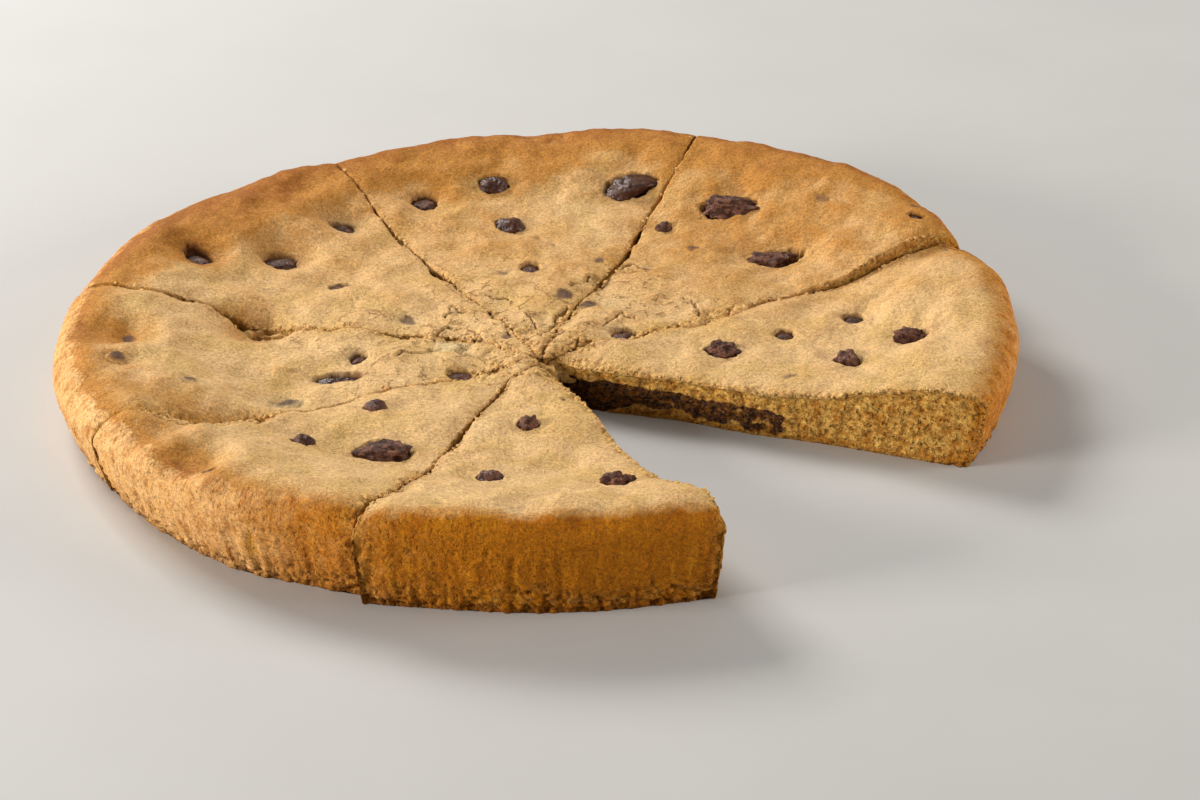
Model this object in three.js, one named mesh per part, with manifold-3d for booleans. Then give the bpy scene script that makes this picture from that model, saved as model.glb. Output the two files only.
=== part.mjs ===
// A round, deep chocolate chip cookie, 229 mm across, cut into eight wedges of which seven are in place.
// Millimetres, +Z up. The origin is the middle of the base, and -Y is the front.
import * as THREE from 'three';
import { mergeVertices } from 'three/addons/utils/BufferGeometryUtils.js';
import Module from 'manifold-3d';

const wasm = await Module();
wasm.setup();
const { clamp, degToRad, euclideanModulo, lerp, radToDeg, smoothstep } = THREE.MathUtils;

// The baked round: its outer wall and raised rim, by direction.
// Each row is [direction in degrees, widest radius, height of the rim's crest, width of the rounded shoulder].
const RIM = [
  [0, 111.5, 21.5, 9],
  [20, 113, 22, 9],
  [38, 116.5, 23, 9],
  [55, 116, 23.5, 9],
  [72, 115, 22.5, 9],
  [95, 114, 21, 10],
  [117, 111.5, 20.5, 10],
  [132, 114, 20, 10],
  [147, 117, 20, 11],
  [163, 116.5, 19.5, 11],
  [188, 116.5, 19.5, 11],
  [212, 114.8, 20.5, 9],
  [233, 115.3, 21.5, 8],
  [246, 112.5, 23, 6.5],
  [262, 110, 24.5, 6],
  [285, 110.4, 24.5, 6],
  [294, 111.4, 24, 6],
  [340, 110.8, 20.5, 8],
  [360, 111.5, 21.5, 9],
];
const MIDDLE_HEIGHT = 12.2;
const RIM_SLOPE = 40; // from the crest in to the level middle
const SHOULDER_DROP = 0.8; // the shoulder's height, as a share of its width
const WALL_LEAN = 3.5; // the wall stands this much further in at the base
const BASE_CRAG = 0.6; // how far the torn lower edge stands in and out

// Soft hollows in the top: [x, y, radius, depth].
const HOLLOWS = [
  [-86, 40, 8, 2.2],
  [-66, 46, 8, 1.8],
  [-52, 64, 7, 1.2],
  [-51, 33, 8, 0.8],
  [-31, 77, 7, 1.6],
  [-13, 84, 6, 0.8],
  [21, 83, 10, 1.4],
  [-100, -8, 9, 2.4],
  [-98, -24, 6, 0.8],
  [-62, -24, 11, 1.0],
  [-47, -18, 9, 1.0],
  [-71, 8, 9, 2.6],
  [-79, -47, 10, 2.4],
  [-75, -76, 8, 2.4],
  [-84, -61, 7, 1.0],
  [-37, -57, 11, 1.0],
  [-12, -71, 7, 0.8],
  [16, -77, 9, 0.8],
  [0, -102, 6, 1.2],
  [47, 70, 10, 1.4],
  [58, 47, 10, 1.2],
  [75, 10, 6, 0.8],
  [87, -9, 7, 0.8],
  [73, -13, 7, 0.6],
];

// Low swells over the whole top: [height, wavelength, direction in degrees, phase].
const SWELLS = [
  [0.3, 47, 20, 0.4],
  [0.28, 33, 100, 2.1],
  [0.22, 21, 62, 1.2],
  [0.18, 15, 145, 3.3],
];

// The knife's cuts all start at one point, a little in front of the middle.
const CUT_CENTRE = new THREE.Vector2(-0.4, -9.4);
const KERF = 0.9;
const EDGE_DIP = 0.8; // the top sinks this much towards a cut
const EDGE_REACH = 3;
const WORN_REACH = 14; // how far along the rim a worn corner goes
const WORN_DROP = 0.35; // how much lower it is, as a share of what is worn away
const FACE_CRUMB = 0.4; // relief of the two open cut faces

// Each cut: its direction in degrees, and how far it wanders, as [distance along, sideways] rows.
const CUTS = {
  back: { angle: 71.5, wander: [[0, 0], [20, 1.4], [58, -0.8], [82, 0], [104, -2.2]] },
  backLeft: { angle: 117.5, wander: [[0, 0], [22, -0.3], [60, 0.8], [88, 2], [108, 3.2]] },
  left: { angle: 165, wander: [[0, 0], [22, -6.5], [38, -3.8], [62, -1], [82, -2.6], [106, 1.6]] },
  frontLeft: { angle: 205, wander: [[0, 0], [40, 1], [60, 1.4], [83, 4.4], [112, -1.6]] },
  front: { angle: 248.5, wander: [[0, 0], [16, -2.6], [42, -2.2], [62, -1.2], [90, 1.4], [104, 0]] },
  openFront: { angle: 292.4, wander: [[0, 0], [7, 3], [30, 4], [55, 3.4], [80, 4.2], [104, 3.8]] },
  openRight: { angle: 340.7, wander: [[0, 0], [14, -2.4], [39, -1], [55, -2], [70, -1], [104, -1.6]] },
  right: { angle: 27.5, wander: [[0, 0], [30, 0.4], [58, 2.4], [74, 2.6], [88, 0.4], [108, -0.8]] },
};

// Each slice lies between two cuts, anticlockwise, and may be slid outwards along one of them.
// Its two outer corners may be worn away by so much.
const SLICES = [
  { name: 'slice_back', from: 'back', to: 'backLeft' },
  { name: 'slice_back_left', from: 'backLeft', to: 'left' },
  { name: 'slice_left', from: 'left', to: 'frontLeft' },
  { name: 'slice_front_left', from: 'frontLeft', to: 'front' },
  { name: 'slice_front', from: 'front', to: 'openFront', slideAlong: 'front', slide: 3 },
  { name: 'slice_right', from: 'openRight', to: 'right', slideAlong: 'right', slide: 2.8, worn: [1, 8] },
  { name: 'slice_back_right', from: 'right', to: 'back' },
];

// The chocolate that shows in the top of each slice: [kind, x, y, width, depth, turn in degrees].
const CHIPS = {
  slice_back: [
    ['pit', -31.6, 77, 7, 6, 0],
    ['drop', -13.7, 84, 7.6, 6.6, 0],
    ['chunk', 22, 83, 14, 8.5, 4],
    ['drop', -9.2, 66, 7.8, 7, 0],
    ['pit', -3.6, 41, 4.5, 5.5, 0],
  ],
  slice_back_left: [
    ['pit', -86.6, 41, 9, 4.5, -40],
    ['pit', -66.4, 45, 9, 5.5, 0],
    ['pit', -52.2, 63.2, 6, 4, 0],
    ['pit', -50.6, 31.5, 5, 3.5, 0],
  ],
  slice_left: [
    ['drop', -98.7, -23.4, 5, 4.5, 0],
    ['pit', -47.3, -18.6, 11, 3.6, 0],
    ['pit', -44.1, -8.8, 3.4, 3.4, 0],
    ['drop', -58.7, -31.2, 6.5, 4.6, 0],
    ['drop', -21.5, -2.2, 8, 6, 0],
    ['drop', -81.2, -31, 4, 3.5, 0],
  ],
  slice_front_left: [
    ['drop', -53.4, -55, 5.4, 5, 0],
    ['drop', -38, -37, 5.4, 5, 0],
    ['chunk', -35, -56.5, 13, 9.5, -8],
    ['pit', -71, -82, 3.6, 3.2, 0],
  ],
  slice_front: [
    ['chunk', -2.3, -44.4, 5, 5.5, 30],
    ['drop', -10.3, -71.3, 6, 5, 0],
    ['chunk', 18, -76, 8, 6, 12],
  ],
  slice_right: [
    ['chunk', 88.2, -7.4, 8.3, 6, -14],
    ['pit', 75.4, 10, 4.4, 4.6, 0],
    ['pit', 58.2, 3.7, 4, 4.6, 0],
    ['chunk', 43.3, -4.8, 8.4, 6, -14],
    ['chunk', 72.8, -13, 7, 7.5, 20],
  ],
  slice_back_right: [
    ['chunk', 47, 69.8, 14.4, 7.5, -3],
    ['chunk', 58.4, 47, 14.2, 7.5, 4],
    ['drop', 30.3, 64.5, 4.2, 4, 0],
    ['pit', 93, 48.5, 5, 3, -30],
    ['pit', 21.6, 1.2, 5.2, 5, 0],
  ],
};
const CHIP_RISE = { drop: 1.5, chunk: 1.7, pit: 1.6 }; // above the dough, and for a pit below it
const CHIP_SINK = 0.5; // the middle of a chip lies this much under the dough

// How finely a slice is faceted.
const RAYS = 16;
const INNER_RINGS = 12;
const OUTER_INSETS = [24, 17, 11.5, 7.5, 4, 1.5, 0]; // from the widest radius
const WALL_LEVELS = [1, 0.68, 0.36, 0.1, 0]; // as shares of the height

const COOKIE_COLOUR = 0xd2a05c;
const COOKIE_ROUGHNESS = 0.85;

// A value from rows of [position, value, ...], eased from one row to the next.
function eased(rows, at, column = 1) {
  const next = rows.findIndex((row) => row[0] > at);
  if (next < 1) return (next === 0 ? rows[0] : rows.at(-1))[column];
  const [before, after] = [rows[next - 1], rows[next]];
  return lerp(before[column], after[column], smoothstep(at, before[0], after[0]));
}

function direction(degrees) {
  return new THREE.Vector2(1, 0).rotateAround(new THREE.Vector2(), degToRad(degrees));
}

function angleOf(point) {
  return euclideanModulo(radToDeg(Math.atan2(point.y, point.x)), 360);
}

// How far a point of the plan lies inside the widest outline.
function insetOf(point) {
  return eased(RIM, angleOf(point), 1) - point.length();
}

function hollowDepth(point) {
  const depths = HOLLOWS.map(([x, y, radius, depth]) => {
    const away = Math.hypot(point.x - x, point.y - y) / radius;
    return depth * Math.exp(-away * away);
  });
  return depths.reduce((sum, depth) => sum + depth, 0);
}

function swellHeight(point) {
  const heights = SWELLS.map(([height, wavelength, degrees, phase]) => {
    const along = point.dot(direction(degrees));
    return height * Math.sin((2 * Math.PI * along) / wavelength + phase);
  });
  return heights.reduce((sum, height) => sum + height, 0);
}

// The height of the whole baked top, rim and all, over a point of the plan.
function topHeight(point) {
  const inset = insetOf(point);
  const crest = eased(RIM, angleOf(point), 2);
  const shoulder = eased(RIM, angleOf(point), 3);
  const bowl = lerp(crest, MIDDLE_HEIGHT, smoothstep(inset, shoulder, shoulder + RIM_SLOPE));
  const past = clamp(1 - inset / shoulder, 0, 1);
  const drop = SHOULDER_DROP * shoulder * (1 - Math.sqrt(1 - past * past));
  return bowl - drop - hollowDepth(point) + swellHeight(point);
}

// Crumb relief of an open face, out of two crossing waves.
function crumb(along, up) {
  return FACE_CRUMB * Math.sin(along * 0.9 + Math.sin(up * 1.3) * 2) * Math.sin(up * 0.8 + along * 0.35);
}

// The plan of one slice: its tip, its two cuts and its outer edge.
class Wedge {
  constructor({ from, to, slideAlong = from, slide = 0, worn = [0, 0] }) {
    this.cuts = [CUTS[from], CUTS[to]];
    this.open = [from, to].map((name) => name.startsWith('open'));
    const [start, end] = this.cuts.map((cut) => cut.angle);
    this.start = start;
    this.spread = euclideanModulo(end - start, 360);
    const drawnBack = KERF / 2 / Math.sin(degToRad(this.spread / 2));
    this.tip = direction(start + this.spread / 2).multiplyScalar(drawnBack).add(CUT_CENTRE);
    this.passed = slide + drawnBack * Math.cos(degToRad(this.spread / 2));
    this.offset = direction(CUTS[slideAlong].angle).multiplyScalar(slide);
    this.worn = worn;
    this.reaches = Array.from({ length: RAYS + 1 }, (_, ray) => this.reach(ray / RAYS));
  }

  // The point at a distance from the tip, for a share of the way from the first cut to the second.
  pointAt(distance, share) {
    const point = direction(this.start + share * this.spread).multiplyScalar(distance).add(this.tip);
    this.cuts.forEach((cut, side) => {
      const weight = side === 0 ? 1 - share : share;
      const sideways = weight * eased(cut.wander, distance + this.passed);
      point.add(direction(cut.angle + 90).multiplyScalar(sideways));
    });
    return point;
  }

  // How far a ray lies from each of the two cuts, at a distance from the tip.
  besides(distance, share) {
    return [share, 1 - share].map((part) => part * degToRad(this.spread) * distance);
  }

  // How much the nearer outer corner is worn away there.
  wearAt(distance, share) {
    const beside = this.besides(distance, share);
    return this.worn.reduce((sum, wear, side) => sum + wear * Math.exp(-((beside[side] / WORN_REACH) ** 2)), 0);
  }

  // The distance from the tip to the widest outline.
  reach(share) {
    let distance = CUT_CENTRE.length();
    for (let step = 0; step < 25; step += 1) distance += insetOf(this.pointAt(distance, share));
    return distance - this.wearAt(distance, share);
  }

  distanceOf(ring, ray) {
    const reach = this.reaches[ray];
    if (ring >= INNER_RINGS) return reach - OUTER_INSETS[ring - INNER_RINGS];
    return ((reach - OUTER_INSETS[0]) * ring) / INNER_RINGS;
  }

  // A corner of the facets: how far out, which ray, and how far down from the top.
  corner(ring, ray, level) {
    const share = ray / RAYS;
    const distance = this.distanceOf(ring, ray);
    const plan = this.pointAt(distance, share);
    const beside = Math.min(...this.besides(distance, share));
    const dip = EDGE_DIP * Math.exp(-((beside / EDGE_REACH) ** 2));
    const outwards = smoothstep(distance / this.reaches[ray], 0.6, 1);
    const worn = WORN_DROP * this.wearAt(distance, share) * outwards;
    const height = (topHeight(plan) - dip - worn) * WALL_LEVELS[level];
    this.leanIn(plan, ray, WALL_LEVELS[level]);
    this.roughen(plan, ray, distance, height, level);
    return new THREE.Vector3(plan.x + this.offset.x, plan.y + this.offset.y, height);
  }

  // The wall leans in towards the base, and its lower edge is torn.
  leanIn(plan, ray, share) {
    const down = 1 - share;
    const torn = BASE_CRAG * down ** 4 * Math.sin(ray * 2.7 + this.start);
    const scale = 1 - (WALL_LEAN * down ** 1.3 + torn) / this.reaches[ray];
    plan.sub(this.tip).multiplyScalar(scale).add(this.tip);
  }

  // An open cut face is crumbly between its top and bottom edges.
  roughen(plan, ray, distance, height, level) {
    const side = ray === 0 ? 0 : 1;
    const inner = level > 0 && level < WALL_LEVELS.length - 1;
    if (!inner || !this.open[side] || ray !== side * RAYS) return;
    const inwards = side === 0 ? 90 : -90;
    const relief = FACE_CRUMB + crumb(distance, height);
    plan.add(direction(this.cuts[side].angle + inwards).multiplyScalar(relief));
  }
}

// One closed body of facets: a top, an outer wall, two cut faces and a flat base.
function sliceGeometry(wedge) {
  const lastRing = INNER_RINGS + OUTER_INSETS.length - 1;
  const lastLevel = WALL_LEVELS.length - 1;
  const corners = new Map();
  const positions = [];
  const triangles = [];

  function add(key, position) {
    if (!corners.has(key)) {
      corners.set(key, positions.length / 3);
      positions.push(...position.toArray());
    }
    return corners.get(key);
  }
  function corner([ring, ray, level]) {
    const one = ring === 0 ? 0 : ray;
    return add([ring, one, level].join(), wedge.corner(ring, one, level));
  }
  function triangle(a, b, c) {
    if (a !== b && b !== c && c !== a) triangles.push(a, b, c);
  }
  function quad(...places) {
    const [a, b, c, d] = places.map(corner);
    triangle(a, b, c);
    triangle(a, c, d);
  }

  for (let ring = 0; ring < lastRing; ring += 1) {
    for (let ray = 0; ray < RAYS; ray += 1) {
      quad([ring, ray, 0], [ring + 1, ray, 0], [ring + 1, ray + 1, 0], [ring, ray + 1, 0]);
    }
  }
  for (let level = 0; level < lastLevel; level += 1) {
    const down = level + 1;
    for (let ray = 0; ray < RAYS; ray += 1) {
      quad([lastRing, ray, down], [lastRing, ray + 1, down], [lastRing, ray + 1, level], [lastRing, ray, level]);
    }
    for (let ring = 0; ring < lastRing; ring += 1) {
      quad([ring, 0, down], [ring + 1, 0, down], [ring + 1, 0, level], [ring, 0, level]);
      quad([ring + 1, RAYS, down], [ring, RAYS, down], [ring, RAYS, level], [ring + 1, RAYS, level]);
    }
  }

  const rings = Array.from({ length: lastRing }, (_, ring) => ring);
  const rays = Array.from({ length: RAYS }, (_, ray) => ray);
  const edge = [
    ...rings.map((ring) => [ring, 0, lastLevel]),
    ...rays.map((ray) => [lastRing, ray, lastLevel]),
    ...rings.map((ring) => [lastRing - ring, RAYS, lastLevel]),
  ].map(corner);
  const middle = wedge.pointAt(wedge.reaches[RAYS / 2] * 0.6, 0.5).add(wedge.offset);
  const hub = add('hub', new THREE.Vector3(middle.x, middle.y, 0));
  edge.forEach((one, place) => triangle(hub, edge[(place + 1) % edge.length], one));

  const geometry = new THREE.BufferGeometry();
  geometry.setAttribute('position', new THREE.Float32BufferAttribute(positions, 3));
  geometry.setIndex(triangles);
  return geometry;
}

// A morsel's body: a drop is a low dome, a chunk has a few flat sides, and a pit is a smooth scoop.
function chipGeometry(kind, width, depth) {
  const shape = kind === 'chunk' ? new THREE.IcosahedronGeometry(1, 1) : new THREE.SphereGeometry(1, 9, 6);
  if (kind !== 'chunk') shape.rotateX(Math.PI / 2);
  return shape.scale(width / 2, depth / 2, CHIP_RISE[kind] + (kind === 'pit' ? 0 : CHIP_SINK));
}

function solidOf(geometry) {
  geometry.deleteAttribute('normal');
  geometry.deleteAttribute('uv');
  const merged = mergeVertices(geometry, 1e-4);
  return new wasm.Manifold(
    new wasm.Mesh({
      numProp: 3,
      vertProperties: new Float32Array(merged.attributes.position.array),
      triVerts: new Uint32Array(merged.index.array),
    }),
  );
}

function geometryOf(solid) {
  const { vertProperties, triVerts } = solid.getMesh();
  const geometry = new THREE.BufferGeometry();
  geometry.setAttribute('position', new THREE.BufferAttribute(vertProperties, 3));
  geometry.setIndex(new THREE.BufferAttribute(triVerts, 1));
  geometry.computeVertexNormals();
  return geometry;
}

// Chips are baked into their slice, so they are joined to it; pits are hollowed out of it.
function withChips(slice, wedge, chips) {
  return chips.reduce((solid, [kind, x, y, width, depth, turn]) => {
    const height = topHeight(new THREE.Vector2(x, y).sub(wedge.offset));
    const shape = chipGeometry(kind, width, depth).rotateZ(degToRad(turn));
    const chip = solidOf(shape.translate(x, y, kind === 'pit' ? height : height - CHIP_SINK));
    return kind === 'pit' ? solid.subtract(chip) : solid.add(chip);
  }, slice);
}

function sliceMesh(slice) {
  const wedge = new Wedge(slice);
  const solid = withChips(solidOf(sliceGeometry(wedge)), wedge, CHIPS[slice.name]);
  const material = new THREE.MeshStandardMaterial({
    color: COOKIE_COLOUR,
    roughness: COOKIE_ROUGHNESS,
    metalness: 0,
  });
  const mesh = new THREE.Mesh(geometryOf(solid), material);
  mesh.name = slice.name;
  return mesh;
}

const cookie = new THREE.Group();
cookie.add(...SLICES.map(sliceMesh));

// The origin goes to the middle of the base.
const middle = new THREE.Box3().setFromObject(cookie).getCenter(new THREE.Vector3());
cookie.position.set(-middle.x, -middle.y, 0);

export default cookie;
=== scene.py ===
"""The looks of a deep round chocolate chip cookie, 229 mm across, cut in eight, seven wedges in place.

Sizes are in millimetres until a mesh is made, in the frame whose origin is the middle of the baked round.
"""

import itertools
import math

import bmesh
import bpy
import numpy as np
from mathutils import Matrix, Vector


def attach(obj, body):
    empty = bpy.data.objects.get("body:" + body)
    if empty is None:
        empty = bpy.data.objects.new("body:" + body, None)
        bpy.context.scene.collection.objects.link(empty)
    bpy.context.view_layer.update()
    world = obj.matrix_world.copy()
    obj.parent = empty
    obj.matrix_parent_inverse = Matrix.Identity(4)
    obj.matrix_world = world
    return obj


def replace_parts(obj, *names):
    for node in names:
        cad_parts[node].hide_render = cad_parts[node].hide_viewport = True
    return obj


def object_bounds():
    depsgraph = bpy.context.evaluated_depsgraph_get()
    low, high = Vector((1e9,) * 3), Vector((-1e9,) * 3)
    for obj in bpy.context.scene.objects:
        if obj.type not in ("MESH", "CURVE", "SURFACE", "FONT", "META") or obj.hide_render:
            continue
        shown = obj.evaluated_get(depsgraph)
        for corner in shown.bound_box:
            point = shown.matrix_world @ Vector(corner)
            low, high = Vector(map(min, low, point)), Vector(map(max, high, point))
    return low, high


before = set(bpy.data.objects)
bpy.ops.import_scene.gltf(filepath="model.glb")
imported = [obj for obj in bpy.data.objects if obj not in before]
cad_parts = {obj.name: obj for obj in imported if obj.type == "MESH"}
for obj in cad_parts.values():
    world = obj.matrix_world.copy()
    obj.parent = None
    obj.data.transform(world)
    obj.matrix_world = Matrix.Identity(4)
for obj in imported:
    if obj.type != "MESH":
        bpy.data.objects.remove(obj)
cad_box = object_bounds()

MM = 0.001

# The baked round: [direction in degrees, widest radius, height of the rim's crest, width of its shoulder].
RIM = [
    [0, 111.5, 21.5, 9],
    [20, 113, 22, 9],
    [38, 116.5, 23, 9],
    [55, 116, 23.5, 9],
    [72, 115, 22.5, 9],
    [95, 114, 21, 10],
    [117, 111.5, 20.5, 10],
    [132, 114, 20, 10],
    [147, 117, 20, 11],
    [163, 116.5, 19.5, 11],
    [188, 116.5, 19.5, 11],
    [212, 114.8, 20.5, 9],
    [233, 115.3, 21.5, 8],
    [246, 112.5, 23, 6.5],
    [262, 110, 24.5, 6],
    [285, 110.4, 24.5, 6],
    [294, 111.4, 24, 6],
    [340, 110.8, 20.5, 8],
    [360, 111.5, 21.5, 9],
]
MIDDLE_HEIGHT = 12.2
RIM_SLOPE = 40
SHOULDER_DROP = 0.8
WALL_LEAN = 3.5

# Soft hollows in the top: [x, y, radius, depth].
HOLLOWS = [
    [-86, 40, 8, 2.2],
    [-66, 46, 8, 1.8],
    [-52, 64, 7, 1.2],
    [-51, 33, 8, 0.8],
    [-31, 77, 7, 1.6],
    [-13, 84, 6, 0.8],
    [21, 83, 10, 1.4],
    [-100, -8, 9, 2.4],
    [-98, -24, 6, 0.8],
    [-62, -24, 11, 1.0],
    [-47, -18, 9, 1.0],
    [-71, 8, 9, 2.6],
    [-79, -47, 10, 2.4],
    [-75, -76, 8, 2.4],
    [-84, -61, 7, 1.0],
    [-37, -57, 11, 1.0],
    [-12, -71, 7, 0.8],
    [16, -77, 9, 0.8],
    [0, -102, 6, 1.2],
    [47, 70, 10, 1.4],
    [58, 47, 10, 1.2],
    [75, 10, 6, 0.8],
    [87, -9, 7, 0.8],
    [73, -13, 7, 0.6],
]

# Low swells over the whole top: [height, wavelength, direction in degrees, phase].
SWELLS = [
    [0.3, 47, 20, 0.4],
    [0.28, 33, 100, 2.1],
    [0.22, 21, 62, 1.2],
    [0.18, 15, 145, 3.3],
]

# How far the oven browned the top in from the rim: [direction, reach, strength].
BROWNING = [
    [0, 14, 0.25],
    [30, 17, 0.45],
    [60, 24, 0.9],
    [90, 28, 1.05],
    [125, 28, 1.1],
    [150, 26, 1.1],
    [175, 23, 0.85],
    [205, 19, 0.68],
    [235, 13, 0.35],
    [262, 10, 0.3],
    [292, 10, 0.3],
    [335, 12, 0.3],
    [360, 14, 0.25],
]

# More toasted all over towards the back, and darker brown in the hollows at the left: each [strength, from,
# to].
BACK_BROWNING = [0.33, -20, 90]
LEFT_HOLLOW_DARKENING = [0.16, 50, 80]
BROWNING_FALL = 0.8
SHOULDER_BROWNING = [0.42, 0.5, 0.4]  # strength, share of the way down the shoulder, width
LIP = (0.32, 0.80)  # where on the shoulder the top's colour turns into the wall's

# More browned places of the top: [x, y, radius, more].
BROWN_PATCHES = [
    [-72, 74, 18, 0.35],
    [-98, 50, 18, 0.2],
    [-90, -38, 7, 0.35],
    [-76, -76, 8, 0.35],
    [8, 70, 18, -0.3],
    [-40, 90, 14, 0.1],
    [66, 58, 40, 0.26],
    [0, 60, 30, 0.10],
]

# How deep a brown the outer wall is, partly baked and partly painted light: [direction, depth].
# The painted light makes it paler on the left, where the light falls, and darker at the shaded front.
WALL_BROWNING_AND_LIGHT = [
    [0, 0.6],
    [60, 0.8],
    [120, 0.7],
    [160, 0.5],
    [190, 0.32],
    [214, 0.2],
    [232, 0.38],
    [248, 0.8],
    [270, 1.0],
    [300, 1.0],
    [330, 0.8],
    [360, 0.6],
]

CUT_CENTRE = np.array([-0.4, -9.4])
KERF = 0.9
EDGE_REACH = 3.0
EDGE_ROUND = 0.65
WORN_REACH = 14
WORN_DROP = 0.35

# The crust is cracked in these slices, less and less from the middle outwards, and little in the others.
CRACKED_SLICES = ("slice_back", "slice_back_left", "slice_left", "slice_back_right")
CRACKED_REACH = (74, 22)
FEW_CRACKS = 0.3
CRACK_FADE = 4.0
MIDDLE_REACH = 26
MIDDLE_FADE = 18

# Each cut: how deep its edges sink, its direction, how far it wanders, half its width and how torn it is.
# All but the direction are rows of [distance along, value].
CUTS = {
    "back": {
        "dip": [[0, 0.4], [50, 0.3], [60, 0.7], [92, 0.6], [116, 0.3]],
        "angle": 71.5,
        "wander": [[0, 0], [20, 1.4], [58, -0.8], [82, 0], [104, -2.2]],
        "gap": [
            [0, 0.05], [20, 0.04], [28, 0.4], [34, 0.04], [50, 0.06],
            [58, 0.45], [90, 0.5], [100, 0.2], [116, 0.2],
        ],
        "torn": [[0, 0.8], [40, 0.5], [60, 0.4], [116, 0.2]],
    },
    "backLeft": {
        "dip": [[0, 0.3], [42, 0.3], [52, 0.8], [64, 0.3], [116, 0.3]],
        "angle": 117.5,
        "wander": [[0, 0], [22, -0.3], [60, 0.8], [88, 2], [108, 3.2]],
        "gap": [[0, 0.05], [44, 0.06], [49, 0.9], [56, 1.1], [61, 0.25], [84, 0.25], [100, 0.3], [116, 0.35]],
        "torn": [[0, 0.7], [40, 0.4], [70, 0.2], [116, 0.2]],
    },
    "left": {
        "dip": [[0, 0.4], [58, 0.4], [72, 1.4], [90, 0.8], [118, 0.4]],
        "angle": 165,
        "wander": [[0, 0], [22, -6.5], [38, -3.8], [62, -1], [82, -2.6], [106, 1.6]],
        "gap": [
            [0, 0.05], [22, 0.1], [34, 0.12], [62, 0.2], [70, 1.9],
            [76, 1.3], [82, 0.4], [104, 0.4], [118, 0.3],
        ],
        "torn": [[0, 0.7], [30, 0.6], [60, 0.8], [80, 0.5], [118, 0.2]],
    },
    "frontLeft": {
        "dip": [[0, 0.3], [64, 0.5], [76, 2.3], [92, 2.1], [104, 0.5], [118, 0.3]],
        "angle": 205,
        "wander": [[0, 0], [40, 1], [60, 1.4], [83, 4.4], [112, -1.6]],
        "gap": [
            [0, 0.1], [18, 0.5], [24, 0.5], [30, 0.22], [66, 0.25],
            [74, 1.5], [92, 1.7], [100, 0.4], [118, 0.2],
        ],
        "torn": [[0, 0.7], [24, 0.6], [34, 0.3], [64, 0.4], [74, 1.6], [94, 1.6], [104, 0.5], [118, 0.4]],
    },
    "front": {
        "dip": [[0, 0.4], [40, 0.5], [70, 0.3], [116, 0.4]],
        "angle": 248.5,
        "wander": [[0, 0], [16, -2.6], [42, -2.2], [62, -1.2], [90, 1.4], [104, 0]],
        "gap": [
            [0, 0.1], [16, 0.1], [30, 0.2], [46, 0.28], [62, 0.22],
            [74, 0.1], [92, 0.1], [104, 0.4], [112, 1.0], [118, 1.3],
        ],
        "torn": [[0, 0.5], [30, 0.4], [70, 0.5], [100, 0.9], [116, 1.6]],
    },
    "openFront": {
        "dip": [[0, 0.8]],
        "angle": 292.4,
        "wander": [[0, 0], [7, 3], [30, 4], [55, 3.4], [80, 4.2], [104, 3.8]],
        "gap": [[0, 0.45]],
        "torn": [[0, 1.0], [60, 0.8], [116, 0.8]],
    },
    "openRight": {
        "dip": [[0, 0.8]],
        "angle": 340.7,
        "wander": [[0, 0], [14, -2.4], [39, -1], [55, -2], [70, -1], [104, -1.6]],
        "gap": [[0, 0.45]],
        "torn": [[0, 1.2], [60, 0.9], [116, 1.0]],
    },
    "right": {
        "dip": [[0, 0.4], [36, 0.4], [50, 0.8], [62, 0.4], [118, 0.4]],
        "angle": 27.5,
        "wander": [[0, 0], [30, 0.4], [58, 2.4], [74, 2.6], [88, 0.4], [108, -0.8]],
        "gap": [[0, 0.08], [14, 0.3], [22, 0.1], [38, 0.15], [48, 0.4], [58, 0.25], [88, 0.22], [118, 0.3]],
        "torn": [[0, 0.8], [36, 0.8], [50, 1.2], [62, 0.5], [118, 0.4]],
    },
}

# Each slice lies between two cuts, anticlockwise, and may be slid outwards along one of them.
SLICES = {
    "slice_back": {"cuts": ("back", "backLeft")},
    "slice_back_left": {"cuts": ("backLeft", "left")},
    "slice_left": {"cuts": ("left", "frontLeft")},
    "slice_front_left": {"cuts": ("frontLeft", "front")},
    "slice_front": {"cuts": ("front", "openFront"), "slide_along": "front", "slide": 3},
    "slice_right": {"cuts": ("openRight", "right"), "slide_along": "right", "slide": 2.8, "worn": (1, 8)},
    "slice_back_right": {"cuts": ("right", "back")},
}

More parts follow.
